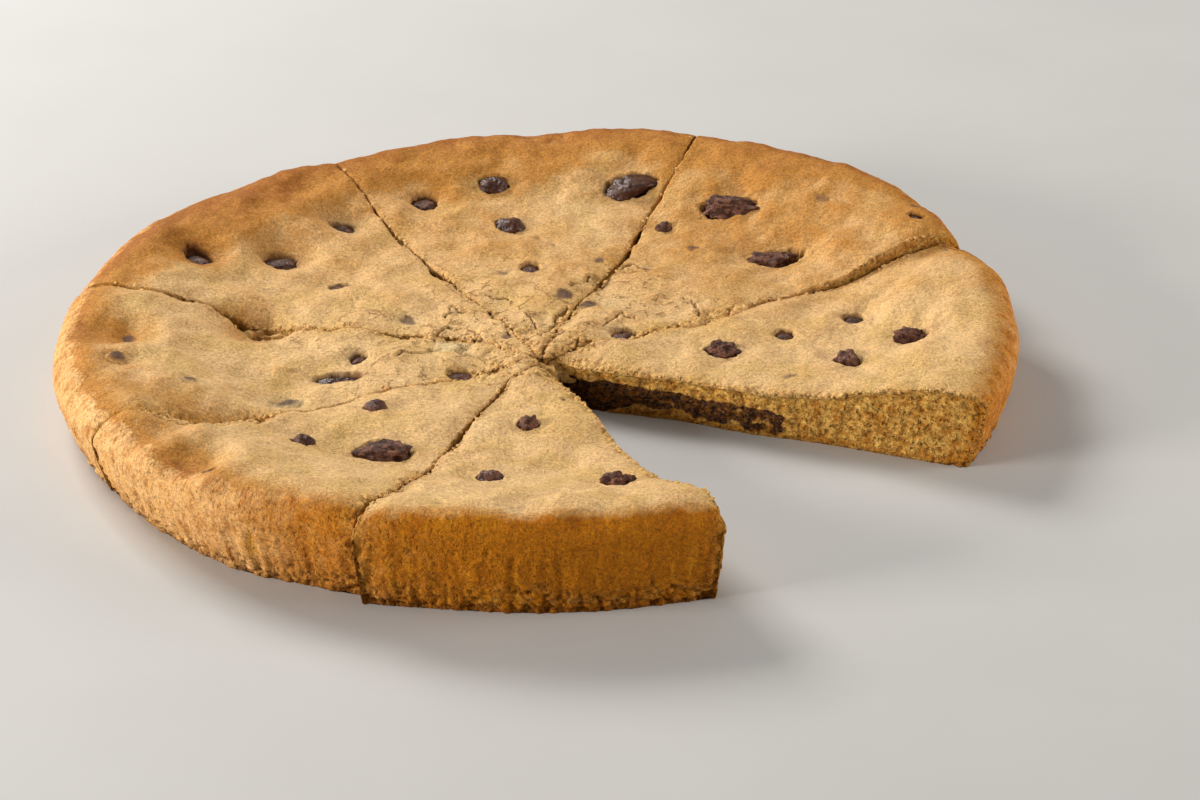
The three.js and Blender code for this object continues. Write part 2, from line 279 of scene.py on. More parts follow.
# The chocolate that shows in the top of each slice: [kind, finish, x, y, width, depth, turn in degrees].
CHIPS = {
    "slice_back": [
        ["pit", "matte", -31.6, 77, 7, 6, 0],
        ["drop", "glossy", -13.7, 84, 7.6, 6.6, 0],
        ["chunk", "glossy", 22, 83, 14, 8.5, 4],
        ["drop", "glossy", -9.2, 66, 7.8, 7, 0],
        ["pit", "matte", -3.6, 41, 5.2, 6.5, 0],
    ],
    "slice_back_left": [
        ["pit", "satin", -86.6, 41, 9, 4.5, -40],
        ["pit", "satin", -66.4, 45, 9, 5.5, 0],
        ["pit", "veiled", -52.2, 63.2, 6, 4, 0],
        ["pit", "veiled", -50.6, 31.5, 5, 3.5, 0],
    ],
    "slice_left": [
        ["drop", "veiled", -98.7, -23.4, 5, 4.5, 0],
        ["pit", "glossy", -47.3, -18.6, 11.5, 4.6, 0],
        ["pit", "matte", -43.4, -9.4, 3.8, 5.0, -20],
        ["drop", "veiled", -58.7, -31.2, 6.5, 4.6, 0],
        ["drop", "pale", -21.5, -2.2, 8, 6, 0],
        ["drop", "veiled", -81.2, -31, 4, 3.5, 0],
        ["pit", "matte", -19.2, -16.0, 6.4, 4.6, 10],
    ],
    "slice_front_left": [
        ["drop", "satin", -53.4, -55, 5.4, 5, 0],
        ["drop", "satin", -38, -37, 5.4, 5, 0],
        ["chunk", "matte", -35, -56.5, 13, 9.5, -8],
        ["pit", "matte", -71, -82, 3.6, 3.2, 0],
    ],
    "slice_front": [
        ["chunk", "matte", -2.3, -44.4, 5, 5.5, 30],
        ["drop", "satin", -10.3, -71.3, 6, 5, 0],
        ["chunk", "matte", 18, -76, 8, 6, 12],
    ],
    "slice_right": [
        ["chunk", "matte", 88.2, -7.4, 8.3, 6, -14],
        ["pit", "matte", 75.4, 10, 5.4, 6.0, 0],
        ["pit", "matte", 58.2, 3.7, 5.2, 6.0, 0],
        ["chunk", "matte", 43.3, -4.8, 8.4, 6, -14],
        ["chunk", "matte", 72.8, -13, 7, 7.5, 20],
    ],
    "slice_back_right": [
        ["chunk", "matte", 47, 69.8, 14.4, 7.5, -3],
        ["chunk", "matte", 58.4, 47, 14.2, 7.5, 4],
        ["drop", "matte", 30.3, 64.5, 4.2, 4, 0],
        ["pit", "matte", 93, 48.5, 5, 3, -30],
        ["pit", "satin", 19.4, 4.8, 6.4, 5.2, -10],
    ],
}
CHIP_RISE = {"drop": 1.9, "chunk": 2.1}
CHIP_SINK = 1.0
CHIP_OVERLAP = 0.56  # half of a chip's size, and a little more, down in the dough
PIT_CHIP_HALF = 1.6
PIT_CHIP_DOWN = 2.1
PIT_DEPTH = 2.0
COVERED = {"veiled": 1.1, "pale": 0.08}  # how dark a chip shows through its skin of dough

# Grey spots in the top, partly chocolate just under the crust and partly painted shade of small holes and
# slits:
# [x, y, radius, darkness].
SHADOWS = [
    [11, 19.5, 3.6, 1.1],
    [5, 23.5, 3.4, 1.0],
    [5, 2.5, 2.2, 0.9],
    [-8.5, 1.5, 2.2, 0.8],
    [-15.5, 0, 1.8, 0.9],
    [13.5, 46.5, 2.4, 0.8],
    [25, 41.5, 2.8, 0.75],
    [-10.5, 38, 2.8, 0.6],
    [-20, 15.5, 2.0, 0.4],
    [-33, 12, 3.4, 0.75],
    [41, 15, 1.3, 0.9],
    [58.5, -20, 2.8, 0.6],
    [70.5, 64.5, 3.2, 0.55],
    [69, 73, 2.4, 0.3],
    [70, 85, 2.8, 0.4],
    [37.5, 52, 2.6, 0.7],
    [93.5, 57, 2.2, 0.9],
    [-20.5, -102, 1.6, 0.6],
    [-98.5, -6.5, 2.6, 0.9],
    [5.5, -31.5, 0.9, 0.9],
    [-1, -17.5, 0.8, 0.8],
    [2, 55, 1.4, 0.5],
    [-2, 58, 1.2, 0.4],
    [2, 102, 3.6, 0.3],
    [-44, -9, 3.4, 0.6],
    [-72, -28, 3.2, 0.4],
    [20, 40, 1.6, 0.4],
]

# Paler patches of underbaked dough, round buried chocolate: [x, y, radius, strength].
PALE_PATCHES = [
    [11, 75, 9, 0.5],
    [-52, 63, 6, 0.7],
    [-50, 32, 6, 0.6],
    [14, 20, 8, 0.5],
    [17, 0, 6, 0.6],
    [-44, -9, 6, 0.6],
    [-59, -31, 6, 0.6],
    [-21.5, -2, 6, 0.8],
    [-10.5, 38, 6, 0.4],
    [-14, -47, 8, 0.3],
    [-33, 12, 6, 0.5],
]

# Fine cracks in the crust: each is a line of points [x, y].
CRACKS = [
    [[-17, 25.5], [-12.5, 23.5], [-10, 24], [-7, 22.5]],
    [[-26.5, -0.5], [-25.5, 5], [-22.5, 7.5], [-18.5, 6.5], [-15, 3], [-13.5, -0.5]],
    [[-35, -11], [-31, -8.5], [-26.5, -5], [-24, -6]],
    [[11, 5.5], [14.5, 8.5], [19, 13.5], [22, 11.5]],
    [[-0.5, 0], [2, 6.5], [4, 13.5], [5.5, 18]],
    [[35, 23.5], [37, 20.5], [38.5, 14.5]],
    [[-7.5, 2], [-9, 7], [-11, 11.5], [-13, 15.5]],
    [[-3.5, 13], [-1.5, 6], [1.5, 4.5]],
    [[-23.5, 13], [-22.5, 18.5], [-19, 15.5]],
    [[6.5, 27.5], [9, 31], [11.5, 35]],
    [[19, 41.5], [22, 45.5], [24, 41.5]],
]

# Relief: [height, size of its swells, octaves].
CUT_WOBBLE = [0.32, 5.5, 1]
CUT_NICKS = [0.16, 1.9, 1]
CRUST_LUMPS = [0.8, 9.5, 2]
CRUST_WAVES = [0.6, 19, 1]
CRUST_DIMPLES = [0.2, 4.4, 3]
TORN_GRIT = [0.25, 1.5, 2]
CRACK_WANDER = [1.1, 3.2, 3]
PLATE_WANDER = [1.6, 5.0, 1]
SHADOW_EDGE = [0.3, 1.8, 1]
WALL_STREAKS = [0.18, 1.5, 1]
WALL_GRAIN = [0.15, 1.4, 2]
FACE_WAVES = [0.45, 5, 2]
FACE_WANDER = [0.9, 4, 1]
SMEAR_LUMPS = [0.5, 1.6, 3]
CHIP_WOBBLE = [0.17, 2.0, 3]

# The band of smeared chocolate, from its top to its foot: [run along the face, share of the way down].
SMEAR_TOP = [[0, 0.12], [0.1, 0.30], [0.3, 0.36], [0.5, 0.40], [0.66, 0.5], [0.8, 0.7]]
SMEAR_FOOT = [[0, 1.1], [0.16, 1.02], [0.26, 0.80], [0.45, 0.86], [0.66, 1.02]]

# Colour drift, in the same way as relief.
BROWNING_DRIFT = [0.35, 14, 3]
BROWNING_BLOTCHES = [0.14, 9.5, 2]
LIP_EDGE = [0.2, 6, 4]
CRACKED_EDGE = [34, 17, 1]
SMEAR_WAVE = [0.07, 6, 3]
SMEAR_PATCHES = [0.7, 3.4, 3]

# Raised rings and dents round hollows and chips: [height, where the middle lies, width].
# The last two are shares of the radius, and round a hollow the height is a share of its depth.
HOLLOW_PUFF = [0.3, 1.35, 0.45]
HOLLOW_DENT = [0.22, 0, 0.7]
POCKET_LIP = [0.3, 1.14, 0.14]
POCKET_DISH = [0.5, 0, 2.0]
PIT_DISH = [0.6, 0, 2.0]
COVERED_MOAT = [0.4, 1.15, 0.3]
# The same all in millimetres, beside a crack and between the plates of the broken middle.
CRACK_LIP = [0.3, 0.9, 0.8]
CRACK_FURROW = [0.6, 0, 0.4]
PLATE_GROOVE = [0.4, 0, 0.35]

# Heights and depths of single forms.
BROKEN_RISE = 0.25
PLATE_TILT = 0.8
SHADOW_DENT = 0.35
POCKET_DEPTH = 1.5
COVERED_RISE = 0.6
WALL_RIDGE = 0.32
MORE_RIDGE = [0.45, 222, 24]  # height, direction, spread
RIDGE_SIZE = 2.8
CHIPPED_DEPTH = 1.5
CHIPPED_REACH = 1.9
FOOT_GAP = [1.1, 4.2]  # depth, size
BASE_PORE_DEPTH = 0.35
TORN_FOOT = (0.5, 0.95)  # share of the way down the wall
PIT_EDGE = (0.88, 1.08)
POCKET_EDGE = (0.88, 1.02)

# The share of crumbs that fell out: beside the cuts, in flakes, in fine flakes, at the foot and in the base.
MISSING_CRUMBS = 0.2
MISSING_FLAKES = 0.14
MISSING_FINE_FLAKES = 0.16
MISSING_AT_FOOT = 0.22
MISSING_IN_BASE = 0.3

# The size of crumb, flakes and pores.
TORN_CRUMB = 1.6
PLATE = 7.5
WALL_PORE = 1.5
FOOT_CRUMB = 2.2
FLAKE = 2.5
FINE_FLAKE = 1.3
BASE_PORE = 3.4

# How finely the surface is modelled.
STEP = 0.44
EDGE_STEPS = [0, 0.14, 0.34, 0.62]
SHOULDER_ROWS = 20
WALL_LEVELS = 38
HIDDEN_LEVELS = 8
BASE_LOOPS = [0.985, 0.95, 0.86, 0.7, 0.5, 0.25]
BASE_LOOP_SHARE = 0.6
SHORTEST_LOOP = 12
HUB_SHARE = 0.6  # of the way from the tip to the rim, where the underside's loops shrink to a point
REACH_SHARES = 97
REACH_ROUNDS = 25
TIP_ROWS = 6

USUAL_SHOULDER = 9
MEAN_RADIUS = 113
WOBBLE_START = 6

VIEW_ELEVATION = 27.0
VIEW_DISTANCE = 850.0
VIEW_TARGET = np.array([13.9, -8.4, 0.0])
LENS = 106.5
SENSOR = 36.0


def smooth(value, low, high):
    """0 at low, 1 at high, and eased between."""
    part = np.clip((value - low) / (high - low), 0, 1)
    return part * part * (3 - 2 * part)


def eased(rows, at, column=1):
    """A value from rows of [position, value, ...], eased from one row to the next."""
    rows = np.asarray(rows, float)
    at = np.asarray(at, float)
    if len(rows) == 1:
        return np.full(at.shape, rows[0, column])
    after = np.clip(np.searchsorted(rows[:, 0], at, side="right"), 1, len(rows) - 1)
    share = smooth(at, rows[after - 1, 0], rows[after, 0])
    return rows[after - 1, column] + share * (rows[after, column] - rows[after - 1, column])


def direction(degrees):
    angle = math.radians(degrees)
    return np.array([math.cos(angle), math.sin(angle)])


def angle_of(plan):
    return np.degrees(np.arctan2(plan[:, 1], plan[:, 0])) % 360


def inset_of(plan):
    """How far a point of the plan lies inside the widest outline."""
    return eased(RIM, angle_of(plan), 1) - np.hypot(plan[:, 0], plan[:, 1])


def hollow_depth(plan):
    depth = np.zeros(len(plan))
    for x, y, radius, deep in HOLLOWS:
        away = np.hypot(plan[:, 0] - x, plan[:, 1] - y) / radius
        depth += deep * np.exp(-away * away)
    return depth


def top_height(plan):
    """The height of the whole baked top, rim and all, over points of the plan."""
    angle = angle_of(plan)
    inset = inset_of(plan)
    crest = eased(RIM, angle, 2)
    shoulder = eased(RIM, angle, 3)
    bowl = crest + (MIDDLE_HEIGHT - crest) * smooth(inset, shoulder, shoulder + RIM_SLOPE)
    past = np.clip(1 - inset / shoulder, 0, 1)
    drop = SHOULDER_DROP * shoulder * (1 - np.sqrt(1 - past * past))
    swell = sum(
        height * np.sin(2 * math.pi * (plan @ direction(degrees)) / wavelength + phase)
        for height, wavelength, degrees, phase in SWELLS
    )
    return bowl - drop - hollow_depth(plan) + swell


class Noise:
    """Seeded noise over arrays of points: smooth, or in scattered cells."""

    def __init__(self, seed):
        random = np.random.default_rng(seed)
        self.order = random.permutation(256)
        slopes = random.normal(size=(256, 3))
        self.slopes = slopes / np.linalg.norm(slopes, axis=1)[:, None]
        self.spots = random.random((256, 3))
        self.chances = random.random(256)

    def key(self, cell):
        order = self.order
        return order[(order[(order[cell[:, 0] & 255] + cell[:, 1]) & 255] + cell[:, 2]) & 255]

    def soft(self, points, size):
        """Smooth noise from about -1 to 1, with swells of that size."""
        at = points / size
        cell = np.floor(at).astype(int)
        part = at - cell
        fade = part**3 * (part * (part * 6 - 15) + 10)
        total = np.zeros(len(points))
        for corner in itertools.product((0, 1), repeat=3):
            weight = np.prod(np.where(corner, fade, 1 - fade), axis=1)
            slope = self.slopes[self.key(cell + corner)]
            total += weight * np.einsum("ij,ij->i", slope, part - corner)
        return total * 1.7

    def rough(self, points, size, octaves=3, keep=0.5):
        """Smooth noise with finer noise added on top."""
        return sum(keep**n * self.soft(points + 17.3 * n, size * 0.5**n) for n in range(octaves))

    def relief(self, points, row):
        """Smooth noise from a row of [height, size, octaves]."""
        height, size, octaves = row
        return height * self.rough(points, size, octaves)

    def cells(self, points, size):
        """Of spots scattered that far apart: how far the nearest is, how much further the next, a chance."""
        at = points / size
        cell = np.floor(at).astype(int)
        nearest = np.full(len(points), 9.0)
        second = np.full(len(points), 9.0)
        chance = np.zeros(len(points))
        for step in itertools.product((-1, 0, 1), repeat=3):
            near = cell + step
            key = self.key(near)
            away = np.linalg.norm(near + self.spots[key] - at, axis=1)
            closer = away < nearest
            second = np.where(closer, nearest, np.minimum(second, away))
            chance = np.where(closer, self.chances[key], chance)
            nearest = np.where(closer, away, nearest)
        return nearest, second - nearest, chance


SHARED = Noise(11)


def flat(*columns):
    """Points for the noise, from two or three columns of numbers."""
    columns = [np.asarray(column, float) for column in columns]
    while len(columns) < 3:
        columns.append(np.zeros_like(columns[0]))
    return np.stack(columns, axis=1)


def distance_to_line(plan, line):
    """How far points of the plan lie from a line of points."""
    nearest = np.full(len(plan), 1e3)
    for start, end in zip(line[:-1], line[1:]):
        start = np.array(start, float)
        along = np.array(end, float) - start
        share = np.clip(((plan - start) @ along) / (along @ along), 0, 1)
        nearest = np.minimum(nearest, np.linalg.norm(plan - start - share[:, None] * along, axis=1))
    return nearest


class Wedge:
    """The plan of one slice: its tip, its two cuts and its outer edge."""

    def __init__(self, name):
        spec = SLICES[name]
        self.name = name
        self.seed = 100 + list(SLICES).index(name)
        self.cut_names = spec["cuts"]
        self.cuts = [CUTS[cut] for cut in self.cut_names]
        self.open = [cut.startswith("open") for cut in self.cut_names]
        self.start = self.cuts[0]["angle"]
        self.spread = (self.cuts[1]["angle"] - self.start) % 360
        half = math.radians(self.spread / 2)
        drawn_back = KERF / 2 / math.sin(half)
        slide = spec.get("slide", 0)
        self.tip = CUT_CENTRE + drawn_back * direction(self.start + self.spread / 2)
        self.passed = slide + drawn_back * math.cos(half)
        self.offset = slide * direction(CUTS[spec.get("slide_along", self.cut_names[0])]["angle"])
        self.worn = spec.get("worn", (0, 0))
        shares = np.linspace(0, 1, REACH_SHARES)
        self.reaches = shares, self.find_reach(shares)

    def plan(self, distance, share):
        """Points of the plan, before the slice was slid."""
        angle = np.radians(self.start + share * self.spread)
        plan = self.tip + distance[:, None] * np.stack([np.cos(angle), np.sin(angle)], axis=1)
        for side, cut in enumerate(self.cuts):
            weight = share if side else 1 - share
            sideways = eased(cut["wander"], distance + self.passed) + self.edge_shift(distance, side)
            plan = plan + (weight * sideways)[:, None] * direction(cut["angle"] + 90)
        return plan

    def edge_shift(self, distance, side):
        """How much further a cut edge lies than half a kerf away: cuts close up in places, and wobble."""
        cut = self.cuts[side]
        along = distance + self.passed
        closing = KERF / 2 - eased(cut["gap"], along)
        wobble = sum(
            SHARED.relief(flat(along, np.full_like(along, cut["angle"] + apart)), row)
            for apart, row in ((0, CUT_WOBBLE), (7, CUT_NICKS))
        )
        return np.clip(along / WOBBLE_START, 0, 1) * wobble + (closing if side else -closing)

    def besides(self, distance, share):
        """How far points lie from each of the two cuts."""
        return [part * math.radians(self.spread) * distance for part in (share, 1 - share)]

    def wear_at(self, distance, share):
        return sum(
            wear * np.exp(-((beside / WORN_REACH) ** 2))
            for wear, beside in zip(self.worn, self.besides(distance, share))
        )

    def find_reach(self, share):
        """The distance from the tip to the widest outline."""
        distance = np.full(share.shape, float(np.linalg.norm(CUT_CENTRE)))
        for _ in range(REACH_ROUNDS):
            distance = distance + inset_of(self.plan(distance, share))
        return distance - self.wear_at(distance, share)

    def reach(self, share):
        return np.interp(share, *self.reaches)

    def shoulder(self, share):
        edge = self.plan(self.reach(share), share)
        return eased(RIM, angle_of(edge), 3)


class Shell:
    """A closed surface over a wedge, gathered from rows of places and the triangles stitched between them."""

    def __init__(self, wedge):
        self.wedge = wedge
        self.count = 0
        self.places = []
        self.triangles = []
        self.rows = self.top_rows()
        self.walls()
        self.base()
        self.distance, self.share, self.level, self.side = np.concatenate(self.places).T
        self.triangles = np.concatenate(self.triangles)

    def add(self, distance, share, level, side):
        """Adds points. Side is 0 or 1 on a cut face, 2 on the outer wall, 3 on the top and 4 on the base."""
        columns = np.broadcast_arrays(*map(np.atleast_1d, (distance, share, level, side)))
        self.places.append(np.stack(columns, axis=1).astype(float))
        first = self.count
        self.count += len(columns[0])
        return np.arange(first, self.count)

    def stitch(self, first, second, first_at=None, second_at=None):
        """Triangles between two rows of points, whose places run from 0 to 1."""
        first_at = np.linspace(0, 1, len(first)) if first_at is None else first_at
        second_at = np.linspace(0, 1, len(second)) if second_at is None else second_at
        first_middle = (first_at[1:] + first_at[:-1]) / 2
        second_middle = (second_at[1:] + second_at[:-1]) / 2
        over = second[np.searchsorted(second_middle, first_middle, side="left")]
        under = first[np.searchsorted(first_middle, second_middle, side="right")]
        self.triangles.append(np.stack([first[1:], first[:-1], over], axis=1))
        self.triangles.append(np.stack([second[:-1], second[1:], under], axis=1))

    def across(self, width):
        """Shares across a row of that width, closer together beside its two ends."""
        edge = np.array(EDGE_STEPS)
        if width < 6 * edge[-1]:
            return np.linspace(0, 1, max(2, round(width / STEP) + 1))
        inner = np.linspace(edge[-1], width - edge[-1], round((width - 2 * edge[-1]) / STEP) + 1)
        return np.concatenate([edge[:-1], inner, width - edge[-2::-1]]) / width

    def top_rows(self):
        """Rows of points from the tip outwards and over the rounded shoulder, each with its shares."""
        wedge = self.wedge
        longest = wedge.reaches[1].max()
        inner = round((longest - USUAL_SHOULDER) / STEP)
        turns = np.linspace(0, math.pi / 2, SHOULDER_ROWS + 1)[1:]
        rows = [(self.add(0, 0.5, 1, 3), np.array([0.5]))]
        for row in range(1, inner + SHOULDER_ROWS + 1):
            part = min(row / inner, 1)
            width = math.radians(wedge.spread) * longest * part
            share = self.across(width)
            reach = wedge.reach(share)
            shoulder = wedge.shoulder(share)
            if row <= inner:
                distance = (reach - shoulder) * part
            else:
                distance = reach - shoulder * (1 - math.sin(turns[row - inner - 1]))
            rows.append((self.add(distance, share, 1, 3), share))
        for (first, first_at), (second, second_at) in zip(rows[:-1], rows[1:]):
            self.stitch(first, second, first_at, second_at)
        return rows

    def levels_of(self, row, side):
        """How many steps down a cut face has there: few where it is hidden, save beside the outer wall."""
        if self.wedge.open[side] or row < TIP_ROWS:
            return WALL_LEVELS
        return max(HIDDEN_LEVELS, WALL_LEVELS - (len(self.rows) - 1 - row))

    def column(self, top, levels, side):
        """Points straight down from one of the top's points to the base."""
        distance, share = self.top[top, :2]
        down = np.linspace(1, 0, levels + 1)[1:]
        return np.concatenate([[top], self.add(distance, share, down, side)])

    def walls(self):
        """The outer wall and the two cut faces, as columns of points."""
        self.top = np.concatenate(self.places)
        wall = [self.column(top, WALL_LEVELS, 2) for top in self.rows[-1][0]]
        for first, second in zip(wall[:-1], wall[1:]):
            self.stitch(second, first)
        tip = self.column(0, WALL_LEVELS, 0)
        self.edges = []
        for side, corner in ((0, wall[0]), (1, wall[-1])):
            columns = [tip]
            for row in range(1, len(self.rows) - 1):
                top = self.rows[row][0][-side]
                columns.append(self.column(top, self.levels_of(row, side), side))
            columns.append(corner)
            for first, second in zip(columns[:-1], columns[1:]):
                self.stitch(*((first, second) if side else (second, first)))
            self.edges.append([column[-1] for column in columns])
        self.foot = [column[-1] for column in wall]

    def base(self):
        """The underside: loops that shrink to one point."""
        loop = np.array(self.edges[0] + self.foot[1:] + self.edges[1][::-1][1:])
        places = np.concatenate(self.places)[loop]
        hub = np.array([HUB_SHARE * self.wedge.reach(0.5), 0.5])
        ends = np.linspace(0, 1, len(loop))
        for scale in BASE_LOOPS:
            at = np.linspace(0, 1, max(SHORTEST_LOOP, round(len(places) * scale * BASE_LOOP_SHARE)))
            spot = [hub[axis] + scale * (np.interp(at, ends, places[:, axis]) - hub[axis]) for axis in (0, 1)]
            inner = self.add(spot[0][:-1], spot[1][:-1], 0, 4)
            inner = np.append(inner, inner[0])
            self.stitch(loop, inner)
            loop = inner
        self.stitch(loop, self.add(hub[0], hub[1], 0, 4), None, np.array([0.5]))


def corner_normals(points, triangles):
    """The way that each point of a surface faces."""
    first, second, third = (points[triangles[:, corner]] for corner in range(3))
    facing = np.cross(second - first, third - first)
    normals = np.zeros_like(points)
    for axis in range(3):
        for corner in range(3):
            normals[:, axis] += np.bincount(triangles[:, corner], facing[:, axis], len(points))
    return normals / np.maximum(np.linalg.norm(normals, axis=1), 1e-9)[:, None]


def chip_rows(name):
    return [dict(zip(("kind", "finish", "x", "y", "width", "depth", "turn"), row)) for row in CHIPS[name]]


def around_chip(plan, chip, wobble):
    """How far points lie from a chip's middle, as a share of its own half width."""
    apart = plan - np.array([chip["x"], chip["y"]])
    turn = direction(chip["turn"])
    across = apart @ turn / (chip["width"] / 2)
    deep = (apart[:, 1] * turn[0] - apart[:, 0] * turn[1]) / (chip["depth"] / 2)
    return np.hypot(across, deep) + wobble


def put(on, values):
    """Values for the points that are on, and 0 for the rest."""
    spread = np.zeros(len(on))
    spread[on] = values
    return spread


def bell(value, width):
    return np.exp(-((value / width) ** 2))


def ring(away, row):
    """A ring or a dent from a row of [height, where its middle lies, width]."""
    height, middle, width = row
    return height * bell(away - middle, width)


# What each point of a slice says about its colour.
MARKS = (
    ["toast", "wall", "baked", "around", "crack", "hairline", "crevice_shade"]
    + ["crumb", "veil", "pale", "low", "inside", "skin", "smear"]
)


class Slice:
    """One slice's surface: its smooth form first, then its relief and the marks that colour it."""

    def __init__(self, name):
        self.name = name
        self.wedge = Wedge(name)
        self.shell = Shell(self.wedge)
        self.noise = Noise(self.wedge.seed)
        shell = self.shell
        plan = self.wedge.plan(shell.distance, shell.share)
        self.besides = self.wedge.besides(shell.distance, shell.share)
        self.beside = np.minimum(*self.besides)
        self.nearer = (self.besides[0] > self.besides[1]).astype(int)
        self.along = shell.distance + self.wedge.passed
        self.rim = self.wedge.reach(shell.share) - shell.distance
        self.inset = inset_of(plan)
        self.theta = angle_of(plan)
        self.past = np.clip(1 - self.inset / eased(RIM, self.theta, 3), 0, 1)
        self.top = self.edged_top(plan)
        self.down = 1 - shell.level
        self.plan = plan + self.wedge.offset
        lean = 1 - WALL_LEAN * self.down**1.3 / self.wedge.reach(shell.share)
        leaned = self.wedge.tip + (plan - self.wedge.tip) * lean[:, None] + self.wedge.offset
        self.points = np.column_stack([leaned, self.top * shell.level])
        self.normals = corner_normals(self.points, shell.triangles)
        self.on_top = shell.side == 3
        self.on_wall = shell.side == 2
        self.on_base = shell.level == 0
        self.marks = {name: np.zeros(len(plan)) for name in MARKS}

    def by_cut(self, key):
        """A cut's own value, for the cut that each point is nearer to."""
        values = [eased(cut[key], self.along) for cut in self.wedge.cuts]
        return np.where(self.nearer == 0, *values)

    def edged_top(self, plan):
        """The top's height, sunk and rounded beside the cuts and worn at the corners."""
        shell = self.shell
        height = top_height(plan)
        height -= self.by_cut("dip") * bell(self.beside, EDGE_REACH)
        past = np.clip(1 - self.beside / EDGE_ROUND, 0, 1)
        height -= EDGE_ROUND * (1 - np.sqrt(1 - 0.98 * past * past))
        outwards = smooth(shell.distance / self.wedge.reach(shell.share), 0.6, 1)
        return height - WORN_DROP * self.wedge.wear_at(shell.distance, shell.share) * outwards

    def relief(self):
        """Moves the points along the way they face, and notes the marks."""
        self.browning()
        rise = self.top_relief() + self.wall_relief() + self.face_relief(0) + self.face_relief(1)
        self.points += self.normals * rise[:, None]
        self.pockets()
        self.points[:, 2] = np.maximum(self.points[:, 2], 0)
        self.points[self.on_base, 2] = self.under_relief()[self.on_base]

    def browning(self):
        """How the oven browned it: most at the rim, down the wall, and on what stands up, with painted light
        on the wall.
        """
        spots = flat(*self.plan.T, self.top)
        reach = eased(BROWNING, self.theta, 1)
        strength = eased(BROWNING, self.theta, 2)
        near = np.clip(1 - self.inset / (reach * (1 + SHARED.relief(spots, BROWNING_DRIFT))), 0, 1)
        toast = strength * near**BROWNING_FALL
        more, start, end = BACK_BROWNING
        toast += more * smooth(self.plan[:, 1], start, end)
        more, start, end = LEFT_HOLLOW_DARKENING
        toast += more * hollow_depth(self.plan - self.wedge.offset) * smooth(-self.plan[:, 0], start, end)
        for x, y, radius, more in BROWN_PATCHES:
            toast += more * bell(self.away_from(x, y), radius)
        more, share, width = SHOULDER_BROWNING
        toast += SHARED.relief(spots, BROWNING_BLOTCHES) + more * bell(self.past - share, width)
        self.marks["toast"] = np.clip(toast, 0, 1.4)
        lip = smooth(self.past + SHARED.relief(spots, LIP_EDGE), *LIP)
        self.marks["wall"] = np.where(self.on_wall | self.on_base, 1, np.where(self.on_top, lip, 0))
        # Partly baked browning and partly painted light: paler on the lit left, darker at the shaded front.
        self.marks["baked"] = eased(WALL_BROWNING_AND_LIGHT, self.theta)
        self.marks["around"] = np.radians(self.theta) * MEAN_RADIUS
        cracked = smooth(self.along + SHARED.relief(spots + 70, CRACKED_EDGE), *CRACKED_REACH)
        self.marks["hairline"] = cracked * self.on_top * (1.0 if self.name in CRACKED_SLICES else FEW_CRACKS)

    def away_from(self, x, y):
        return np.hypot(self.plan[:, 0] - x, self.plan[:, 1] - y)

    def top_relief(self):
        """Lumps and dimples of the crust, puffed up round its hollows, crumbly and broken in places."""
        spots = flat(*self.plan.T, self.top)
        middle = smooth(MIDDLE_REACH - self.along, 0, MIDDLE_FADE)
        rise = SHARED.relief(spots, CRUST_LUMPS) + SHARED.relief(spots + 90, CRUST_WAVES)
        rise *= smooth(self.inset, -4, 14)
        rise += self.noise.relief(spots, CRUST_DIMPLES)
        rise += self.crumbling(spots, middle) + BROKEN_RISE * middle
        for x, y, radius, deep in HOLLOWS:
            away = np.hypot(*(self.plan - self.wedge.offset - [x, y]).T) / radius
            rise += deep * (ring(away, HOLLOW_PUFF) - ring(away, HOLLOW_DENT))
        rise += self.plates(spots, middle) + self.cracks(spots)
        # The spots' grey is partly painted shade of small holes and slits.
        for x, y, radius, darkness in SHADOWS:
            away = self.away_from(x, y) / radius + self.noise.relief(spots, SHADOW_EDGE)
            self.marks["veil"] += darkness * (1 - smooth(away, 0.2, 1.05))
            rise -= SHADOW_DENT * (1 - smooth(away, 0.4, 1.3))
        for x, y, radius, strength in PALE_PATCHES:
            self.marks["pale"] += strength * (1 - smooth(self.away_from(x, y) / radius, 0.2, 1.1))
        return rise * self.on_top * smooth(self.inset, 0, 1.5)

    def crumbling(self, spots, middle):
        """Crumb that shows where the crust is torn: beside the cuts and in the middle, with painted shade in
        its gaps.
        """
        torn = self.by_cut("torn")
        beside = torn * np.exp(-self.beside / (0.5 + 1.1 * torn))
        crumbly = np.clip(np.maximum(beside, 0.2 * middle), 0, 1.3)
        self.marks["crumb"] = np.clip(crumbly, 0, 1)
        on = self.on_top & (crumbly > 0.05)
        _, gap, chance = self.noise.cells(spots[on], TORN_CRUMB)
        missing = chance < MISSING_CRUMBS
        lumps = 0.35 * smooth(gap, 0, 0.5) - 0.3 - 0.5 * missing
        # Painted shade in the gaps between crumbs and where crumbs fell out.
        dark = crumbly[on] * (smooth(0.2 - gap, 0, 0.2) + missing) * 0.4
        self.marks["crevice_shade"] += put(on, np.clip(dark, 0, 1))
        return crumbly * (self.noise.relief(spots, TORN_GRIT) - 0.2) + put(on, crumbly[on] * lumps)

    def plates(self, spots, middle):
        """Near the middle the crust is broken into small plates that stand a little up or down."""
        on = self.on_top & (middle > 0.02)
        bends = [self.noise.relief(spots[on] + 9 * n, PLATE_WANDER) for n in (1, 2, 3)]
        _, gap, chance = self.noise.cells((spots[on] + np.column_stack(bends)) * [1, 1, 0.2], PLATE)
        edge = gap * PLATE / 2
        tilted = PLATE_TILT * (chance - 0.5) * smooth(edge, 0, 0.5)
        return put(on, middle[on] * (tilted - ring(edge, PLATE_GROOVE)))

